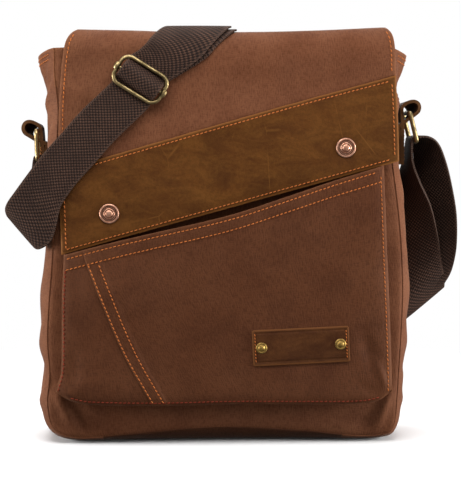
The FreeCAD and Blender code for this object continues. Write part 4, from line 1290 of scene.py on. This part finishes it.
stands = {"strapSewnEnd": "strap_under", "strapUpperFront": "strap_front", "strapOuterBack": "strap_back",
          "strapLeftLoop": "strap_left"}
travelled = 0.0
for name, first, last, motion in cuts:
    frames = strapRun[first * strapSteps:last * strapSteps + 1]
    piece, length = ribbonPiece(name, frames, 0, strap["thick"], travelled, cup=0.2, edge=0.45,
                                weave=strap["width"])
    travelled += length
    dress(piece, "webbing", motion[1] if motion[0] == "ride" else None)
    if motion[0] != "ride":
        start, end = (tuple(Vector(place) * mm) for place in motion[2:])
        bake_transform(piece)
    if name in stands:
        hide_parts(stands[name])
print("strap ready:", round(travelled), "mm long")


slider = {"long": 41.6, "short": 24.6, "corner": 7.5, "wire": strap["wire"], "bar": strap["bar"], "tilt": 31.5}


def roundedLoop(width, height, corner, steps=8):
    points = []
    for cx, cz, start in ((1, 1, 0), (-1, 1, 90), (-1, -1, 180), (1, -1, 270)):
        for k in range(steps + 1):
            angle = math.radians(start + 90 * k / steps)
            points.append((cx * (width / 2 - corner) + corner * math.cos(angle),
                           cz * (height / 2 - corner) + corner * math.sin(angle)))
    return points


def wirePiece(name, points, radius, closed, sides=14):
    curve = bpy.data.curves.new(name, "CURVE")
    curve.dimensions = "3D"
    curve.bevel_depth = radius * mm
    curve.bevel_resolution = sides // 4
    curve.use_fill_caps = not closed
    spline = curve.splines.new("POLY")
    spline.points.add(len(points) - 1)
    for point, where in zip(spline.points, points):
        point.co = (*(Vector(where) * mm), 1)
    spline.use_cyclic_u = closed
    pick(placed(name, curve))
    bpy.ops.object.convert(target="MESH")
    obj = bpy.context.object
    obj.data.name = name
    smoothEdges(obj, 50)
    return obj


sliderTilt = math.radians(slider["tilt"])
sliderLong = Vector((math.cos(sliderTilt), 0, -math.sin(sliderTilt)))
sliderShort = Vector((math.sin(sliderTilt), 0, math.cos(sliderTilt)))


def onSlider(a, b):
    return Vector((strap["slider"][0], sliderY, strap["slider"][1])) + sliderLong * a + sliderShort * b


loop = roundedLoop(slider["long"] + slider["wire"] * 0.4, slider["short"], slider["corner"])
sliderFrame = wirePiece("sliderFrame", [onSlider(a, b) for a, b in loop], slider["wire"] / 2, True)
dress(sliderFrame, "brass", "slider", ["slider_frame"])
reach = slider["long"] / 2 + slider["wire"] * 0.2
parts = [wirePiece("sliderBar", [onSlider(-reach, 0), onSlider(reach, 0)], slider["bar"] / 2, False)]
knuckleProfile = [(0.6, -3.4), (1.9, -3.0), (2.5, -1.8), (2.7, 0), (2.5, 1.8), (1.9, 3.0), (0.6, 3.4)]
for side in (-1, 1):
    knuckle = turned("knuckle", knuckleProfile, 20)
    knuckle.data.transform(Matrix.Translation(onSlider(side * (reach + 0.7), 0) * mm) @ upright(sliderShort))
    parts.append(knuckle)
dress(joined("sliderBar", parts), "brass", "slider", ["slider_bar"])
print("slider ready")


flapSkin = surfaceOf(flapBand, flapCanvas)


# rows on the front are drawn from straight ahead
def inPlane(*rows):
    return [[(x, 0, z) for x, z in row] for row in rows]


edgeRows = [
    [(fitted(flap["left"], z) + 3.6, z) for z in range(234, 345, 2)],
    [(fitted(flap["right"], z) - 3.6, z) for z in range(313, 349, 2)],
]
bandRows = [
    [(x, flapEdge(x) + 3.2) for x in range(-131, 144, 6)],
    [(x, fitted(band["topEdge"], x) - 3.0) for x in range(-132, 142, 6)],
    [(fitted(flap["left"], z) + 4.2, z) for z in range(165, 229, 4)],
    [(fitted(flap["right"], z) - 3.8, z) for z in range(243, 306, 4)],
]
front = (0, 1, 0)
stitchRow("flapEdgeStitches", flapSkin, inPlane(*edgeRows), front, "thread", "flap")
stitchRow("bandStitches", flapSkin, inPlane(*bandRows), front, "thread", "flap")
upperHem, lowerHem = pocket["hemRows"]
hemRows = [
    [(x, pocketMouth(x) - upperHem) for x in range(-131, 133, 6)],
    [(x, pocketMouth(x) - lowerHem) for x in range(-132, 134, 6)],
]
seamRows = [[(pocketSeamX(z) + side * pocket["seamHalf"], z) for z in range(37, 154, 4)] for side in (-1, 1)]
rightRow = [(pocketRight(z) - 3.2, z) for z in range(42, 230, 4)]
stitchRow("pocketHemStitches", pocketSkin, inPlane(*hemRows), front, "thread", "bag")
stitchRow("pocketSeamStitches", pocketSkin, inPlane(*seamRows, rightRow), front, "thread", "bag")
bottomRow = [(x, fitted(pocket["bottom"], x) + 2.6) for x in range(-128, 134, 6)]
leftRow = [(pocketLeft(z) + 1.6, z) for z in range(44, 152, 4)]
edges = inPlane(bottomRow, leftRow)
stitchRow("pocketEdgeStitches", pocketSkin, edges, front, "redThread", "bag", radius=0.6)
for name, gusset, direction in (("leftEarStitches", leftGusset, 1), ("rightEarStitches", rightGusset, -1)):
    end = 0 if direction > 0 else outlineTotal
    rows = [[shellPoint(abs(end - down), k / 20) for k in range(-18, 19)] for down in (1.6, 3.0)]
    stitchRow(name, surfaceOf(gusset), rows, (direction, 0, 0), "thread", "bag")
rootRows = [[(x, 0, z) for x in range(-118, 132, 6)] for z in (321.5, 326.0)]
stitchRow("flapRootStitches", surfaceOf(flapCanvas), rootRows, (0, -1, 0), "thread", "bag")
stitchRow("labelStitches", labelSkin, inPlane(*labelEnds), front, "thread", "bag", pitch=2.6, radius=0.42)
slipRows = [[(x, 0, slip["high"] - 11) for x in range(-100, 101, 5)]]
slipRows += [[(side * (slip["half"] - 2.5), 0, z) for z in range(97, 222, 5)] for side in (-1, 1)]
stitchRow("slipPocketStitches", surfaceOf(slipPocket), slipRows, (0, 1, 0), "thread", "bag", back=20)
print("stitching ready")


# the metal that keeps the frame's own shapes
for name, finish in (("left_ring", "brass"), ("right_ring", "brass"), ("snap_studs", "copper"),
                     ("snap_sockets", "copper"), ("snap_stud_backs", "copper"),
                     ("label_rivet_backs", "rivetBrass")):
    obj = nodes[name]
    for i in range(len(obj.data.materials)):
        obj.data.materials[i] = finishes[finish]
    if not len(obj.data.materials):
        obj.data.materials.append(finishes[finish])
